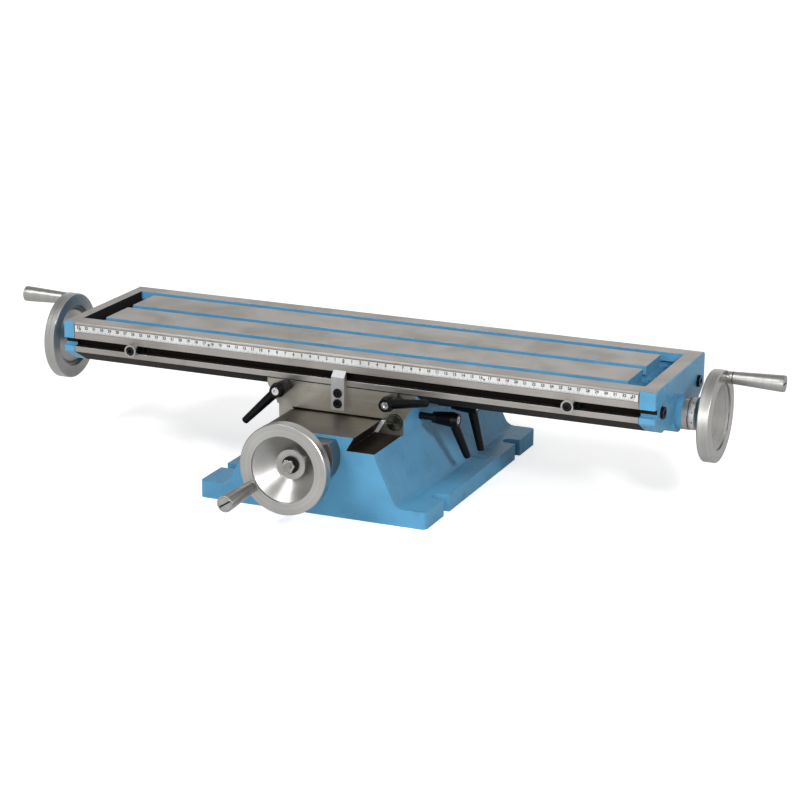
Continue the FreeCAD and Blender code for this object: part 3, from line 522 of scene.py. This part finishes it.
@dataclass(frozen=True)
class ThreadedSteel(TurnedMetal):
    """A turned shaft with a thread cut along part of it."""

    pitch: float = 5.0
    cut: float = 1.2
    crest: Pair = NARROW
    threaded: tuple[Zone, ...] = ()
    oil: Colour = (0.06, 0.05, 0.04)
    oiled: float = 0.75

    def surface(self, site: Site) -> Surface:
        """The turned surface, with a helix in its height and oil between the crests."""
        smooth = super().surface(site)
        arm = site.vector("SUBTRACT", site.point, Vector(self.centre) * MM)
        parts = list(site.add("SeparateXYZ", {0: arm}).outputs)
        along = parts.pop(self.axis.number)
        angle = site.math("DIVIDE", site.math("ARCTAN2", parts[1], parts[0]), 2 * math.pi)
        turns = site.math("ADD", site.math("DIVIDE", along, self.pitch * MM), angle)
        wave = site.times(site.math("PINGPONG", turns, 0.5), 2.0)
        crest = site.ramp(wave, *self.crest)
        share = site.inside(self.threaded)
        fine = site.times(smooth.height, smooth.depth / self.cut)
        height = site.math("ADD", fine, site.times(crest, share))
        undercut_shade = site.times(site.rest(crest), site.times(share, self.oiled))
        colour = site.blend(undercut_shade, smooth.colour, self.oil)
        return Surface(colour, smooth.roughness, smooth.metallic, height, self.cut)


@dataclass(frozen=True)
class PaintedCasting(Finish):
    """A painted casting, bare in its machined zones, or everywhere but in its painted ones."""

    bare: GroundIron | None = None
    machined: tuple[Zone, ...] = ()
    painted: tuple[Zone, ...] = ()

    def surface(self, site: Site) -> Surface:
        """Paint and bare iron, each in its zones."""
        paint = super().surface(site)
        iron = self.bare.surface(site)
        share = (site.rest(site.inside(self.painted)) if self.painted
                 else site.inside(self.machined))
        colour = site.blend(share, paint.colour, iron.colour)
        rough = site.between(share, paint.roughness, iron.roughness)
        metal = site.times(share, self.bare.metallic)
        height = site.times(iron.height, iron.depth / paint.depth)
        height = site.between(share, paint.height, height)
        return Surface(colour, rough, metal, height, paint.depth)


@dataclass(frozen=True)
class Palette:
    """Every finish of the table, named for what it dresses."""

    blue: Colour = (0.114, 0.348, 0.560)
    worn_blue: Colour = (0.30, 0.50, 0.66)
    iron: Colour = (0.41, 0.385, 0.36)
    worn_iron: Colour = (0.62, 0.60, 0.57)
    saddle_iron: Colour = (0.40, 0.385, 0.34)
    # Darker than the ground iron, as painted shade under the saddle and table.
    way_iron: Colour = (0.20, 0.185, 0.165)
    housing: Colour = (0.24, 0.235, 0.225)
    bronze: Colour = (0.50, 0.33, 0.14)
    # Near white, as a painted highlight on the gib's end.
    gib: Colour = (0.85, 0.84, 0.80)
    gib_screw: Colour = (0.075, 0.078, 0.062)
    worn_gib_screw: Colour = (0.2, 0.2, 0.18)
    aluminium: Colour = (0.46, 0.455, 0.44)
    block: Colour = (0.47, 0.475, 0.48)
    steel: Colour = (0.42, 0.415, 0.40)
    worn_steel: Colour = (0.7, 0.69, 0.67)
    screw: Colour = (0.34, 0.335, 0.32)
    worn_screw: Colour = (0.6, 0.59, 0.57)
    nut: Colour = (0.55, 0.545, 0.53)
    # Lighter than the steel, painting light onto the dials, which lie in the wheels' shade.
    dial: Colour = (0.56, 0.555, 0.54)
    cap: Colour = (0.7, 0.7, 0.68)
    black_steel: Finish = Finish(
        "black_oxide", (0.010, 0.010, 0.011), roughness=0.32, metallic=0.5, edge_radius=0.25,
        wear=0.35, worn=(0.10, 0.095, 0.09), specular=0.3)
    black_plastic: Finish = Finish(
        "moulded_black", (0.0030, 0.0030, 0.0035), roughness=0.30, wear=0.12,
        worn=(0.04, 0.04, 0.04), specular=0.14)
    white_metal: Finish = Finish(
        "rule_white", (0.68, 0.69, 0.68), roughness=0.42, edge_radius=0.1, wear=0.4,
        worn=(0.42, 0.41, 0.40), specular=0.4)
    rivet_metal: Finish = Finish(
        "rivet_aluminium", (0.20, 0.195, 0.19), roughness=0.35, metallic=0.9, edge_radius=0.2,
        worn=(0.6, 0.6, 0.6))

    def bare_iron(self, **changes: object) -> GroundIron:
        """Ground cast iron, as on the table's top."""
        sizes = {"name": "ground_iron", "colour": self.iron, "roughness": 0.34, "metallic": 1.0,
                 "edge_radius": 0.35, "wear": 0.5, "worn": self.worn_iron}
        return GroundIron(**{**sizes, **changes})

    def painted(self, name: str, **zones: object) -> PaintedCasting:
        """A blue casting with its machined faces."""
        sizes = {"name": name, "colour": self.blue, "roughness": 0.28, "edge_radius": 0.9,
                 "wear": 0.12, "worn": self.worn_blue, "specular": 0.09, "bare": self.bare_iron()}
        return PaintedCasting(**{**sizes, **zones})

    def ink(self, name: str, colour: Colour = (0.012, 0.012, 0.013), roughness: float = 0.5,
            worn: Colour = (0.1, 0.1, 0.1)) -> Finish:
        """What a mark is filled with, black unless another colour is given."""
        return Finish(name, colour, roughness, edge_radius=0.05, wear=0.1, worn=worn)


def middle(node: str) -> Triple:
    """The middle of a CAD node's box."""
    return tuple(round((low + high) / 2 / MM, 3) for low, high in zip(*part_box(node)))


def deselect() -> None:
    """Leave nothing selected, so that an operator acts only on what comes next."""
    bpy.ops.object.select_all(action="DESELECT")


def new_object(name: str, data: bpy.types.ID) -> Piece:
    """An object of the scene that shows some data."""
    shown = bpy.data.objects.new(name, data)
    bpy.context.scene.collection.objects.link(shown)
    return shown


def pick(*pieces: Piece) -> None:
    """Select pieces, the first as the active one."""
    deselect()
    for piece in pieces:
        piece.select_set(True)
    bpy.context.view_layer.objects.active = pieces[0]


def bake_place(piece: Piece) -> Piece:
    """Put a piece's place into its mesh, so that its object sits at the origin."""
    pick(piece)
    bpy.ops.object.transform_apply(location=True, rotation=True, scale=True)
    return piece


def new_block(centre: Triple, size: Triple) -> Piece:
    """A block to start a piece from."""
    deselect()
    bpy.ops.mesh.primitive_cube_add(size=1.0, location=Vector(centre) * MM)
    piece = bpy.context.object
    piece.scale = Vector(size) * MM
    return bake_place(piece)


def apply_modifier(piece: Piece, kind: str, **settings: object) -> None:
    """Add a modifier and apply it at once."""
    pick(piece)
    modifier = piece.modifiers.new(kind.lower(), kind)
    for name, value in settings.items():
        setattr(modifier, name, value)
    bpy.ops.object.modifier_apply(modifier=modifier.name)


def join(name: str, pieces: list[Piece]) -> Piece:
    """Make one piece of several, under a new name."""
    pick(*pieces)
    bpy.ops.object.join()
    piece = bpy.context.object
    piece.name = piece.data.name = name
    return piece


def lettered(text: str, height: float, place: Matrix, boldness: float) -> Piece:
    """Digits as a thin mesh.

    Args:
        text: The digits.
        height: How tall they are.
        place: Where the middle of their foot goes, their face looking along its Z.
        boldness: How far their strokes grow to each side, as a share of the height.

    Returns:
        The piece, with its place in its mesh.
    """
    deselect()
    bpy.ops.object.text_add()
    piece = bpy.context.object
    piece.data.body = text
    piece.data.align_x = "CENTER"
    piece.data.size = height * MM / DIGIT_SHARE
    piece.data.resolution_u = 2
    piece.data.offset = boldness * height * MM
    piece.data.extrude = INK_DEPTH * MM
    bpy.ops.object.convert(target="MESH")
    piece = bpy.context.object
    piece.matrix_world = place
    return bake_place(piece)


@dataclass
class Assembly:
    """Pieces that are dressed, or printed, together."""

    palette: Palette
    effects: Effects

    def dress(self, finish: Finish, *names: str) -> None:
        """Give CAD nodes a finish in place of their packed material."""
        material = finish.build(self.effects)
        for name in names:
            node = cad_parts[name]
            node.data.materials.clear()
            node.data.materials.append(material)
            log.info("%s is dressed in %s", name, finish.name)

    def turn(self, node: str, centre: Triple, axis: Axis, **changes: object) -> None:
        """Dress a node in metal turned about an axis, bright steel unless changed."""
        sizes = {"colour": self.palette.steel, "roughness": 0.29, "metallic": 1.0,
                 "edge_radius": 0.4, "wear": 0.25, "worn": self.palette.worn_steel,
                 "brushed": 0.75, "centre": centre, "axis": axis, **changes}
        self.dress(TurnedMetal(node + "_metal", **sizes), node)

    def print_on(self, body: str, slot: str, piece: Piece, finish: Finish) -> None:
        """Give a new piece its material and its body."""
        piece.data.materials.clear()
        piece.data.materials.append(finish.build(self.effects))
        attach(piece, body)
        log.info("%s rides on %s with %d faces", piece.name, body, len(piece.data.polygons))


@dataclass
class Table(Assembly):
    """The long table, its end brackets, its stops and its rule."""

    skin: float = 0.15
    bevel_top: float = 124.2
    top_bevel: float = 1.7
    groove_depth: float = 15.0
    groove: Pair = (127.9, 142.1)
    neck: Pair = (130.4, 139.6)
    lip: float = 6.0
    seam: float = 0.35
    rule_seat: float = 0.45
    blue_margin: float = 3.4
    bare_inset: float = 1.0
    boss_end: float = 6.0
    boss_half: float = 19.0
    notch_start: float = 0.5
    notch_depth: float = 7.2
    notch_shade: float = 6.0
    mark_lift: float = 0.02
    mark_width: float = 0.30
    marks: tuple[tuple[int, float], ...] = ((1, 1.5), (5, 2.6), (10, 3.4))
    digit_height: float = 3.1
    digit_foot: float = 4.0
    boldness: float = 0.06
    numbers_each_side: int = 33
    number_step: int = 10
    ink_colour: Colour = (0.015, 0.015, 0.016)

    def build(self) -> None:
        """Dress every piece and print the rule."""
        self.dress_table()
        self.dress_brackets()
        for side in ("left", "right"):
            self.dress(self.palette.black_steel, side + "_bracket_screws", side + "_stop_screw",
                       side + "_stop_shoe")
        for stop in ("left_stop", "right_stop"):
            self.turn(stop, middle(stop), Axis.Y)
        self.dress(self.palette.white_metal, "rule")
        self.dress(self.palette.rivet_metal, "rule_rivets")
        self.print_rule()

    def dress_table(self) -> None:
        """Paint the casting, bare where ground, with painted shade below it and in its groove."""
        box, rule = Zone.of("table"), Zone.of("rule")
        low, high = box.low, box.high
        front = (None, low[1] + self.skin)
        upper = (high[2] - self.top_bevel, None)
        end = {"Y": (None, low[1] + self.lip), "Z": (None, high[2] - BEYOND)}
        ground = (
            box.cut(Z=(high[2] - self.skin, None)),
            box.cut(Y=front),
            box.cut(Y=(high[1] - self.skin, None)),
            box.cut(Y=(None, low[1] + self.top_bevel), Z=upper),
            box.cut(Y=(high[1] - self.top_bevel, None), Z=upper),
        )
        # Painted shade in the groove, underneath and along the rule; dark bands at both ends.
        unwiped = (
            box.cut(Y=(low[1] + self.skin, low[1] + self.groove_depth), Z=self.neck),
            box.cut(Y=(low[1] + self.lip, low[1] + self.groove_depth), Z=self.groove),
            box.cut(Z=(None, self.bevel_top)),
            box.cut(Y=front, Z=(rule.low[2] - self.rule_seat, rule.high[2] + self.rule_seat)),
            box.cut(X=(high[0] - self.seam, None), **end),
            box.cut(X=(None, low[0] + self.seam), **end),
        )
        casting = self.palette.painted("table_casting", machined=ground, unwiped=unwiped)
        self.dress(casting, "table")

    def dress_brackets(self) -> None:
        """Paint the end brackets, bare on top, and the right one bare at its boss's end too."""
        table = Zone.of("table")
        y, z = middle("right_dial")[1:]
        half = self.boss_half
        for name, face, margin in (("left_bracket", table.low[0], -BEYOND),
                                   ("right_bracket", table.high[0], self.blue_margin)):
            box = Zone.of(name)
            low, high = box.low, box.high
            bare = (box.cut(X=(None, high[0] - margin), Z=(high[2] - self.skin, None),
                            Y=(low[1] + self.bare_inset, high[1] - self.bare_inset)),)
            if name == "right_bracket":
                bare += (box.cut(X=(high[0] - self.boss_end, None), Y=(y - half, y + half),
                                 Z=(z - half, z + half)),)
            # Dark where it meets the table; painted shade in the notch under its upper lip.
            unwiped = (
                box.cut(X=(face - self.seam, face + self.seam), Z=(None, high[2] - self.skin)),
                box.cut(Y=(low[1] + self.notch_start, low[1] + self.notch_depth),
                        Z=(self.neck[1] - self.notch_shade, self.neck[1] + self.skin)),
            )
            across = self.palette.bare_iron(lay=Lay.ALONG_Y)
            self.dress(self.palette.painted(name + "_casting", machined=bare, unwiped=unwiped,
                                            bare=across), name)

    def print_rule(self) -> None:
        """A line at each millimetre and a number at each centimetre, from the middle outwards."""
        low, high = Zone.of("rule").low, Zone.of("rule").high
        centre = (low[0] + high[0]) / 2
        face = low[1] - self.mark_lift
        reach = self.number_step * self.numbers_each_side
        pieces = []
        for step, height in self.marks:
            spot = (centre - reach, face + self.mark_lift / 2, low[2] + height / 2)
            mark = new_block(spot, (self.mark_width, self.mark_lift, height))
            apply_modifier(mark, "ARRAY", count=2 * reach // step + 1, use_relative_offset=False,
                           use_constant_offset=True, constant_offset_displace=(step * MM, 0, 0))
            pieces.append(mark)
        upright = Matrix.Rotation(math.pi / 2, 4, "X")
        for number in range(-self.numbers_each_side, self.numbers_each_side + 1):
            foot = (centre + self.number_step * number, face + self.mark_lift,
                    low[2] + self.digit_foot)
            place = Matrix.Translation(Vector(foot) * MM) @ upright
            pieces.append(lettered(str(abs(number)), self.digit_height, place, self.boldness))
        ink = self.palette.ink("black_ink", self.ink_colour)
        self.print_on("table", "rule_white", join("rule_scale", pieces), ink)


@dataclass
class Saddle(Assembly):
    """The saddle, its nuts, gibs and stop block."""

    side_skin: float = 0.15
    leg: float = 74.0
    seam: float = 0.8
    seam_end: float = 1.0

    def build(self) -> None:
        """Dress the casting and what it carries."""
        palette = self.palette
        box = Zone.of("saddle_casting")
        low, high = box.low, box.high
        centre = (low[0] + high[0]) / 2
        side = {"Y": (low[1] + self.side_skin, high[1] - self.side_skin),
                "Z": (low[2] + self.side_skin, high[2] - self.side_skin)}
        sides = (box.cut(X=(centre + self.leg, None), **side),
                 box.cut(X=(None, centre - self.leg), **side))
        # Painted shade along the top of the front face, in the gap under the table.
        seam = box.cut(Y=(None, low[1] + self.seam_end), Z=(high[2] - self.seam, None))
        iron = palette.bare_iron(colour=palette.saddle_iron, soiled=0.5, patch=26.0, roughness=0.36)
        casting = palette.painted("saddle_painted", painted=sides, bare=iron, unwiped=(seam,))
        self.dress(casting, "saddle_casting")
        block = palette.bare_iron(name="milled_aluminium", colour=palette.block, roughness=0.5,
                                  soiled=0.12, lay=Lay.ALONG_Y)
        self.dress(block, "stop_block")
        self.dress(palette.black_steel, "stop_block_screws")
        self.turn("gib_screws", middle("gib_screws"), Axis.Y, roughness=0.42,
                  colour=palette.gib_screw, worn=palette.worn_gib_screw)
        # The gibs' near-white colour paints a highlight on their ends.
        gib = palette.bare_iron(name="gib_steel", colour=palette.gib, roughness=0.4, metallic=0.4,
                                soiled=0.1)
        self.dress(gib, "cross_gib", "long_gib")
        bronze = palette.bare_iron(name="nut_bronze", colour=palette.bronze, roughness=0.35,
                                   soiled=0.3)
        self.dress(bronze, "long_nut", "cross_nut")


@dataclass
class Base(Assembly):
    """The base casting and the front bearing."""

    shelf: float = 75.95
    way_top: float = 90.8
    way_side: float = 34.0
    end_skin: float = 0.15
    foot_skin: float = 0.1

    def build(self) -> None:
        """Dress the casting and its bearing."""
        palette = self.palette
        box = Zone.of("base_casting")
        low, high = box.low, box.high
        inner = (low[1] + self.end_skin, high[1] - self.end_skin)
        bare = (box.cut(Y=inner, Z=(self.shelf, None)),
                box.cut(Z=(None, low[2] + self.foot_skin)))
        flank = {"Y": inner, "Z": (self.shelf, self.way_top)}
        # Painted shade on the dovetail's undercut flanks, under the saddle.
        undercut_shade = (box.cut(X=(self.way_side, None), **flank),
                box.cut(X=(None, -self.way_side), **flank))
        # The bare ways are darkened to paint the shade of the saddle and table above them.
        iron = palette.bare_iron(colour=palette.way_iron, lay=Lay.ALONG_Y, soiled=0.5,
                                 roughness=0.36)
        casting = palette.painted("base_painted", machined=bare, unwiped=undercut_shade, bare=iron)
        self.dress(casting, "base_casting")
        self.turn("cross_bearing", middle("cross_screw"), Axis.Y, colour=palette.housing,
                  roughness=0.4, brushed=0.3)
        self.dress(palette.black_steel, "cross_bearing_screws")


@dataclass
class Drive(Assembly):
    """A leadscrew with its dial, spacers, handwheels and handles."""

    screw: str
    axis: Axis
    sides: tuple[str, ...]
    dial: str
    spacers: tuple[str, ...] = ()
    plain: float = 55.0
    # Below this depth under its face, the bolt's head is painted with the shade of its slot.
    slot_edge: float = 0.35
    # The wheels' dish, between these radii, gets a painted dark reflection.
    dish: Pair = (16.4, 36.5)
    # Painted shade in the gap line near the handle's foot.
    collar_line: Pair = (5.8, 6.9)

    def build(self) -> None:
        """Dress every turned piece about its own axis."""
        palette, axis = self.palette, self.axis
        centre = middle(self.screw)
        box = Zone.of(self.screw)
        number = axis.number
        start, end = box.low[number] + self.plain, box.high[number] - self.plain
        log.info("%s is threaded for %.0f mm", self.screw, end - start)
        thread = box.cut(**{axis.name: (start, end)})
        shaft = ThreadedSteel(self.screw + "_steel", palette.screw, roughness=0.3, metallic=1.0,
                              edge_radius=0.4, wear=0.2, worn=palette.worn_screw, centre=centre,
                              axis=axis, threaded=(thread,))
        self.dress(shaft, self.screw)
        for side in self.sides:
            handle, bolt = side + "_handle", side + "_handle_bolt"
            # The wheel's dish gets a painted dark reflection.
            self.turn(side + "_wheel", centre, axis, edge_radius=0.7, brushed=0.65,
                      colour=palette.aluminium, dull_rings=self.dish)
            # A painted shade line near the handle's foot.
            collar_shade = self.slice(handle, *self.collar_line)
            self.turn(handle, middle(handle), axis, roughness=0.33, brushed=0.0, depth=0.0,
                      unwiped=(collar_shade,))
            # Painted shade inside the slot of the bolt's head.
            slot = self.slice(bolt, -BEYOND, -self.slot_edge)
            self.turn(bolt, middle(handle), axis, roughness=0.3, unwiped=(slot,))
            self.turn(side + "_nut", centre, axis, roughness=0.16, colour=palette.nut)
            self.dress(palette.black_steel, side + "_washer")
        # The dial's light colour paints light where the wheel shades it.
        self.turn(self.dial, centre, axis, roughness=0.3, brushed=0.4, colour=palette.dial)
        for spacer in self.spacers:
            self.turn(spacer, centre, axis)

    def slice(self, node: str, near: float, far: float) -> Zone:
        """A slice of a piece, square to the leadscrew.

        Args:
            node: The piece.
            near: Where the slice starts, from the piece's end beside the leadscrew.
            far: Where it stops, from the same end, or from the outer end if it is negative.

        Returns:
            The zone.
        """
        box, number = Zone.of(node), self.axis.number
        low, high = box.low[number], box.high[number]
        far += (high - low) * (far < 0)
        outward = middle(node)[number] > middle(self.screw)[number]
        span = (low + near, low + far) if outward else (high - far, high - near)
        return box.cut(**{self.axis.name: span})


@dataclass
class Dial(Assembly):
    """The divisions and numbers round a leadscrew's dial, and the index line beside it.

    Its outward is 1 or -1, the way along the axis that leads from the boss to the dial.
    """

    node: str
    axis: Axis
    outward: float
    index_body: str
    index_slot: str
    index_angle: float
    slot: str = "turned_steel"
    divisions: int = 100
    numbered: int = 10
    halfway: int = 5
    chamfer: float = 0.8
    mark_lengths: Triple = (1.6, 2.3, 3.0)
    mark_width: float = 0.34
    mark_depth: float = 0.03
    mark_bevel: float = 0.35
    digit_height: float = 1.9
    digit_gap: float = 0.35
    boldness: float = 0.035
    boss_radius: float = 18.5
    boss_gap: float = 0.1
    index_length: float = 4.6
    index_width: float = 1.1
    index_white: Colour = (0.8, 0.8, 0.78)

    def __post_init__(self) -> None:
        """Read the dial's radius, and where its end beside the boss lies along the axis."""
        box = Zone.of(self.node)
        self.radius = (box.high[2] - box.low[2]) / 2
        self.inner = (box.low if self.outward > 0 else box.high)[self.axis.number]

    def build(self) -> None:
        """Print the scale on the dial and the index line on its boss."""
        scale = join(self.node + "_scale", self.marks() + self.numbers())
        self.print_on(self.node, self.slot, scale, self.palette.ink(self.node + "_ink"))
        along = self.inner - self.outward * (self.boss_gap + self.index_length / 2)
        place = self.place(self.index_angle, self.boss_radius, along)
        line = self.mark(self.index_length, self.index_width, place)
        line.name = line.data.name = self.node + "_index"
        white = self.palette.ink(line.name + "_white", self.index_white, 0.4, (0.6, 0.6, 0.6))
        self.print_on(self.index_body, self.index_slot, line, white)

    def place(self, angle: float, radius: float, along: float) -> Matrix:
        """A place on a cylinder about the dial's axis.

        Args:
            angle: How far round from the top, in degrees, towards the axis's left-hand side.
            radius: The cylinder's radius.
            along: The place along the axis.

        Returns:
            The place, its Z looking outwards and its Y along the axis away from the boss.
        """
        away = Vector(self.axis.value) * self.outward
        level = away.cross(Vector(UPWARD))
        turn = math.radians(angle)
        face = Vector(UPWARD) * math.cos(turn) + level * math.sin(turn)
        spot = Vector(middle(self.node))
        spot[self.axis.number] = along
        columns = Matrix((away.cross(face), away, face)).transposed().to_4x4()
        return Matrix.Translation((spot + face * radius) * MM) @ columns

    def mark(self, length: float, width: float, place: Matrix) -> Piece:
        """One line along a place's Y, bevelled all round."""
        piece = new_block(ORIGIN, (width, length, 2 * self.mark_depth))
        apply_modifier(piece, "BEVEL", width=self.mark_bevel * self.mark_depth * MM, segments=1)
        piece.matrix_world = place
        return bake_place(piece)

    def marks(self) -> list[Piece]:
        """A line at each division, longer at each fifth and tenth."""
        models, lines = [], []
        for length in self.mark_lengths:
            along = self.inner + self.outward * (self.chamfer + length / 2)
            models.append(self.mark(length, self.mark_width, self.place(0.0, self.radius, along)))
        about = Matrix.Translation(Vector(middle(self.node)) * MM)
        for number in range(self.divisions):
            rank = (number % self.halfway == 0) + (number % self.numbered == 0)
            line = new_object("mark", models[rank].data.copy())
            turn = Matrix.Rotation(math.radians(360.0 * number / self.divisions), 4, self.axis.name)
            line.data.transform(about @ turn @ about.inverted())
            lines.append(line)
        pick(*models)
        bpy.ops.object.delete()
        return lines

    def numbers(self) -> list[Piece]:
        """The number of each tenth division, standing beyond its line."""
        gap = self.chamfer + self.mark_lengths[2] + self.digit_gap
        foot = self.inner + self.outward * gap
        texts = []
        for number in range(0, self.divisions, self.numbered):
            angle = 360.0 * number / self.divisions
            place = self.place(angle, self.radius + self.mark_depth, foot)
            texts.append(lettered(str(number), self.digit_height, place, self.boldness))
        return texts


@dataclass
class Lever(Assembly):
    """A clamping lever: stud, hub with its arm, and cap screw."""

    name: str
    axis: Axis

    def build(self) -> None:
        """Dress the three pieces."""
        self.dress(self.palette.black_plastic, self.name + "_arm")
        cap = self.name + "_cap_screw"
        self.turn(cap, middle(cap), self.axis, roughness=0.2, colour=self.palette.cap)
        self.dress(self.palette.black_steel, self.name + "_stud")


@dataclass(frozen=True)
class Softbox:
    """An area lamp: where it stands and looks, its side, its power and its share in highlights."""

    name: str
    place: Triple
    target: Triple
    side: float
    power: float
    gloss: float = 1.0

    def build(self) -> None:
        """Put the lamp up."""
        data = bpy.data.lights.new(self.name, "AREA")
        data.shape = "SQUARE"
        data.size = self.side
        data.energy = self.power
        data.specular_factor = self.gloss
        lamp = new_object(self.name, data)
        lamp.location = self.place
        way = Vector(self.target) - Vector(self.place)
        lamp.rotation_euler = way.to_track_quat("-Z", "Y").to_euler()


@dataclass
class Studio:
    """The floor, the lamps, the world and the camera of the photograph."""

    azimuth: float = 23.017
    elevation: float = 16.540
    roll: float = 0.500
    place: Triple = (1.078364, -2.473100, 0.882762)
    focal_pixels: float = 2493.447
    middle_pixel: Pair = (396.295, 400.715)
    picture: float = 800.0
    sensor: float = 36.0
    clip_end: float = 100.0
    ambient: float = 0.33
    ceiling: float = 0.45
    ceiling_range: Pair = (0.3, 0.75)
    flag: float = 0.5
    flag_range: Pair = (-0.85, -0.3)
    floor_side: float = 60.0
    floor_colour: Colour = (0.85, 0.85, 0.85)
    lift: Pair = (0.64, 1.0)
    lift_range: Pair = (0.7, 3.0)
    mirrored_lift: float = 0.08
    lamps: tuple[Softbox, ...] = (
        Softbox("key_softbox", (-0.95, -1.5, 1.95), (0.0, 0.0, 0.1), 0.7, 26.0),
        Softbox("front_softbox", (0.1, -2.6, 0.75), (0.0, 0.0, 0.1), 1.2, 12.0),
        Softbox("right_softbox", (1.49, -1.34, 1.08), (0.1, 0.0, 0.02), 0.25, 18.0, 0.15),
    )

    def build(self) -> None:
        """Set up everything that isn't the object."""
        self.build_floor()
        self.build_world()
        for lamp in self.lamps:
            lamp.build()
        self.build_camera()
        bpy.context.scene.view_settings.view_transform = "Standard"

    def build_floor(self) -> None:
        """A pale floor that the camera sees as white outside the shadow."""
        deselect()
        bpy.ops.mesh.primitive_plane_add(size=self.floor_side)
        floor = bpy.context.object
        floor.name = "studio_floor"
        material = bpy.data.materials.new("studio_floor")
        graph = Graph(empty_tree(material))
        path = graph.add("LightPath").outputs
        away = graph.vector("LENGTH", graph.add("TexCoord").outputs["Object"], output="Value")
        direct = graph.ramp(away, *self.lift_range, *self.lift)
        direct = graph.times(path["Is Camera Ray"], direct)
        mirrored = graph.times(path["Is Glossy Ray"], self.mirrored_lift)
        matt = graph.add("BsdfDiffuse", {"Color": (*self.floor_colour, 1.0)})
        lift = graph.add("Emission", {"Color": (1, 1, 1, 1),
                                      "Strength": graph.math("ADD", direct, mirrored)})
        both = graph.add("AddShader", {0: matt.outputs[0], 1: lift.outputs[0]})
        graph.add("OutputMaterial", {"Surface": both.outputs[0]})
        floor.data.materials.append(material)

    def build_world(self) -> None:
        """White where it is seen or mirrored, a plain soft light elsewhere."""
        world = bpy.data.worlds.new("studio")
        graph = Graph(empty_tree(world))
        path = graph.add("LightPath").outputs
        way = graph.add("SeparateXYZ", {0: graph.add("TexCoord").outputs["Generated"]}).outputs
        mirrored = graph.math("MAXIMUM", path["Is Glossy Ray"], path["Is Transmission Ray"])
        seen = graph.times(graph.ramp(way[2], *self.ceiling_range, 1.0, self.ceiling),
                           graph.ramp(way[0], *self.flag_range, self.flag, 1.0))
        strength = graph.between(mirrored, self.ambient, seen)
        strength = graph.between(path["Is Camera Ray"], strength, 1.0)
        light = graph.add("Background", {"Color": (1, 1, 1, 1), "Strength": strength})
        graph.add("OutputWorld", {"Surface": light.outputs[0]})
        bpy.context.scene.world = world

    def build_camera(self) -> None:
        """The camera solved from the photograph."""
        turn, rise, roll = map(math.radians, (self.azimuth, self.elevation, self.roll))
        facing = (Matrix.Rotation(turn, 4, "Z") @ Matrix.Rotation(math.pi / 2 - rise, 4, "X")
                  @ Matrix.Rotation(roll, 4, "Z"))
        data = bpy.data.cameras.new("photograph")
        data.sensor_width = self.sensor
        data.lens = self.focal_pixels * self.sensor / self.picture
        data.shift_x = 0.5 - self.middle_pixel[0] / self.picture
        data.shift_y = self.middle_pixel[1] / self.picture - 0.5
        data.clip_end = self.clip_end
        camera = new_object("photograph", data)
        camera.matrix_world = Matrix.Translation(self.place) @ facing
        bpy.context.scene.camera = camera


def main() -> None:
    """Build each part of the scene in order."""
    logging.basicConfig(level=logging.INFO, format="%(message)s")
    deselect()
    both = Palette(), Effects()
    Table(*both).build()
    Saddle(*both).build()
    Base(*both).build()
    Drive(*both, "long_screw", Axis.X, ("left", "right"), "right_dial", ("left_spacer",)).build()
    Drive(*both, "cross_screw", Axis.Y, ("front",), "front_dial").build()
    Dial(*both, "right_dial", Axis.X, 1.0, "table", "blue_paint", index_angle=25.0).build()
    Dial(*both, "front_dial", Axis.Y, -1.0, "base", "ground_iron", index_angle=0.0).build()
    for name, axis in (("left_lever", Axis.Y), ("right_lever", Axis.Y),
                       ("side_lever_a", Axis.X), ("side_lever_b", Axis.X)):
        Lever(*both, name, axis).build()
    Studio().build()


if __name__ == "__main__":
    main()
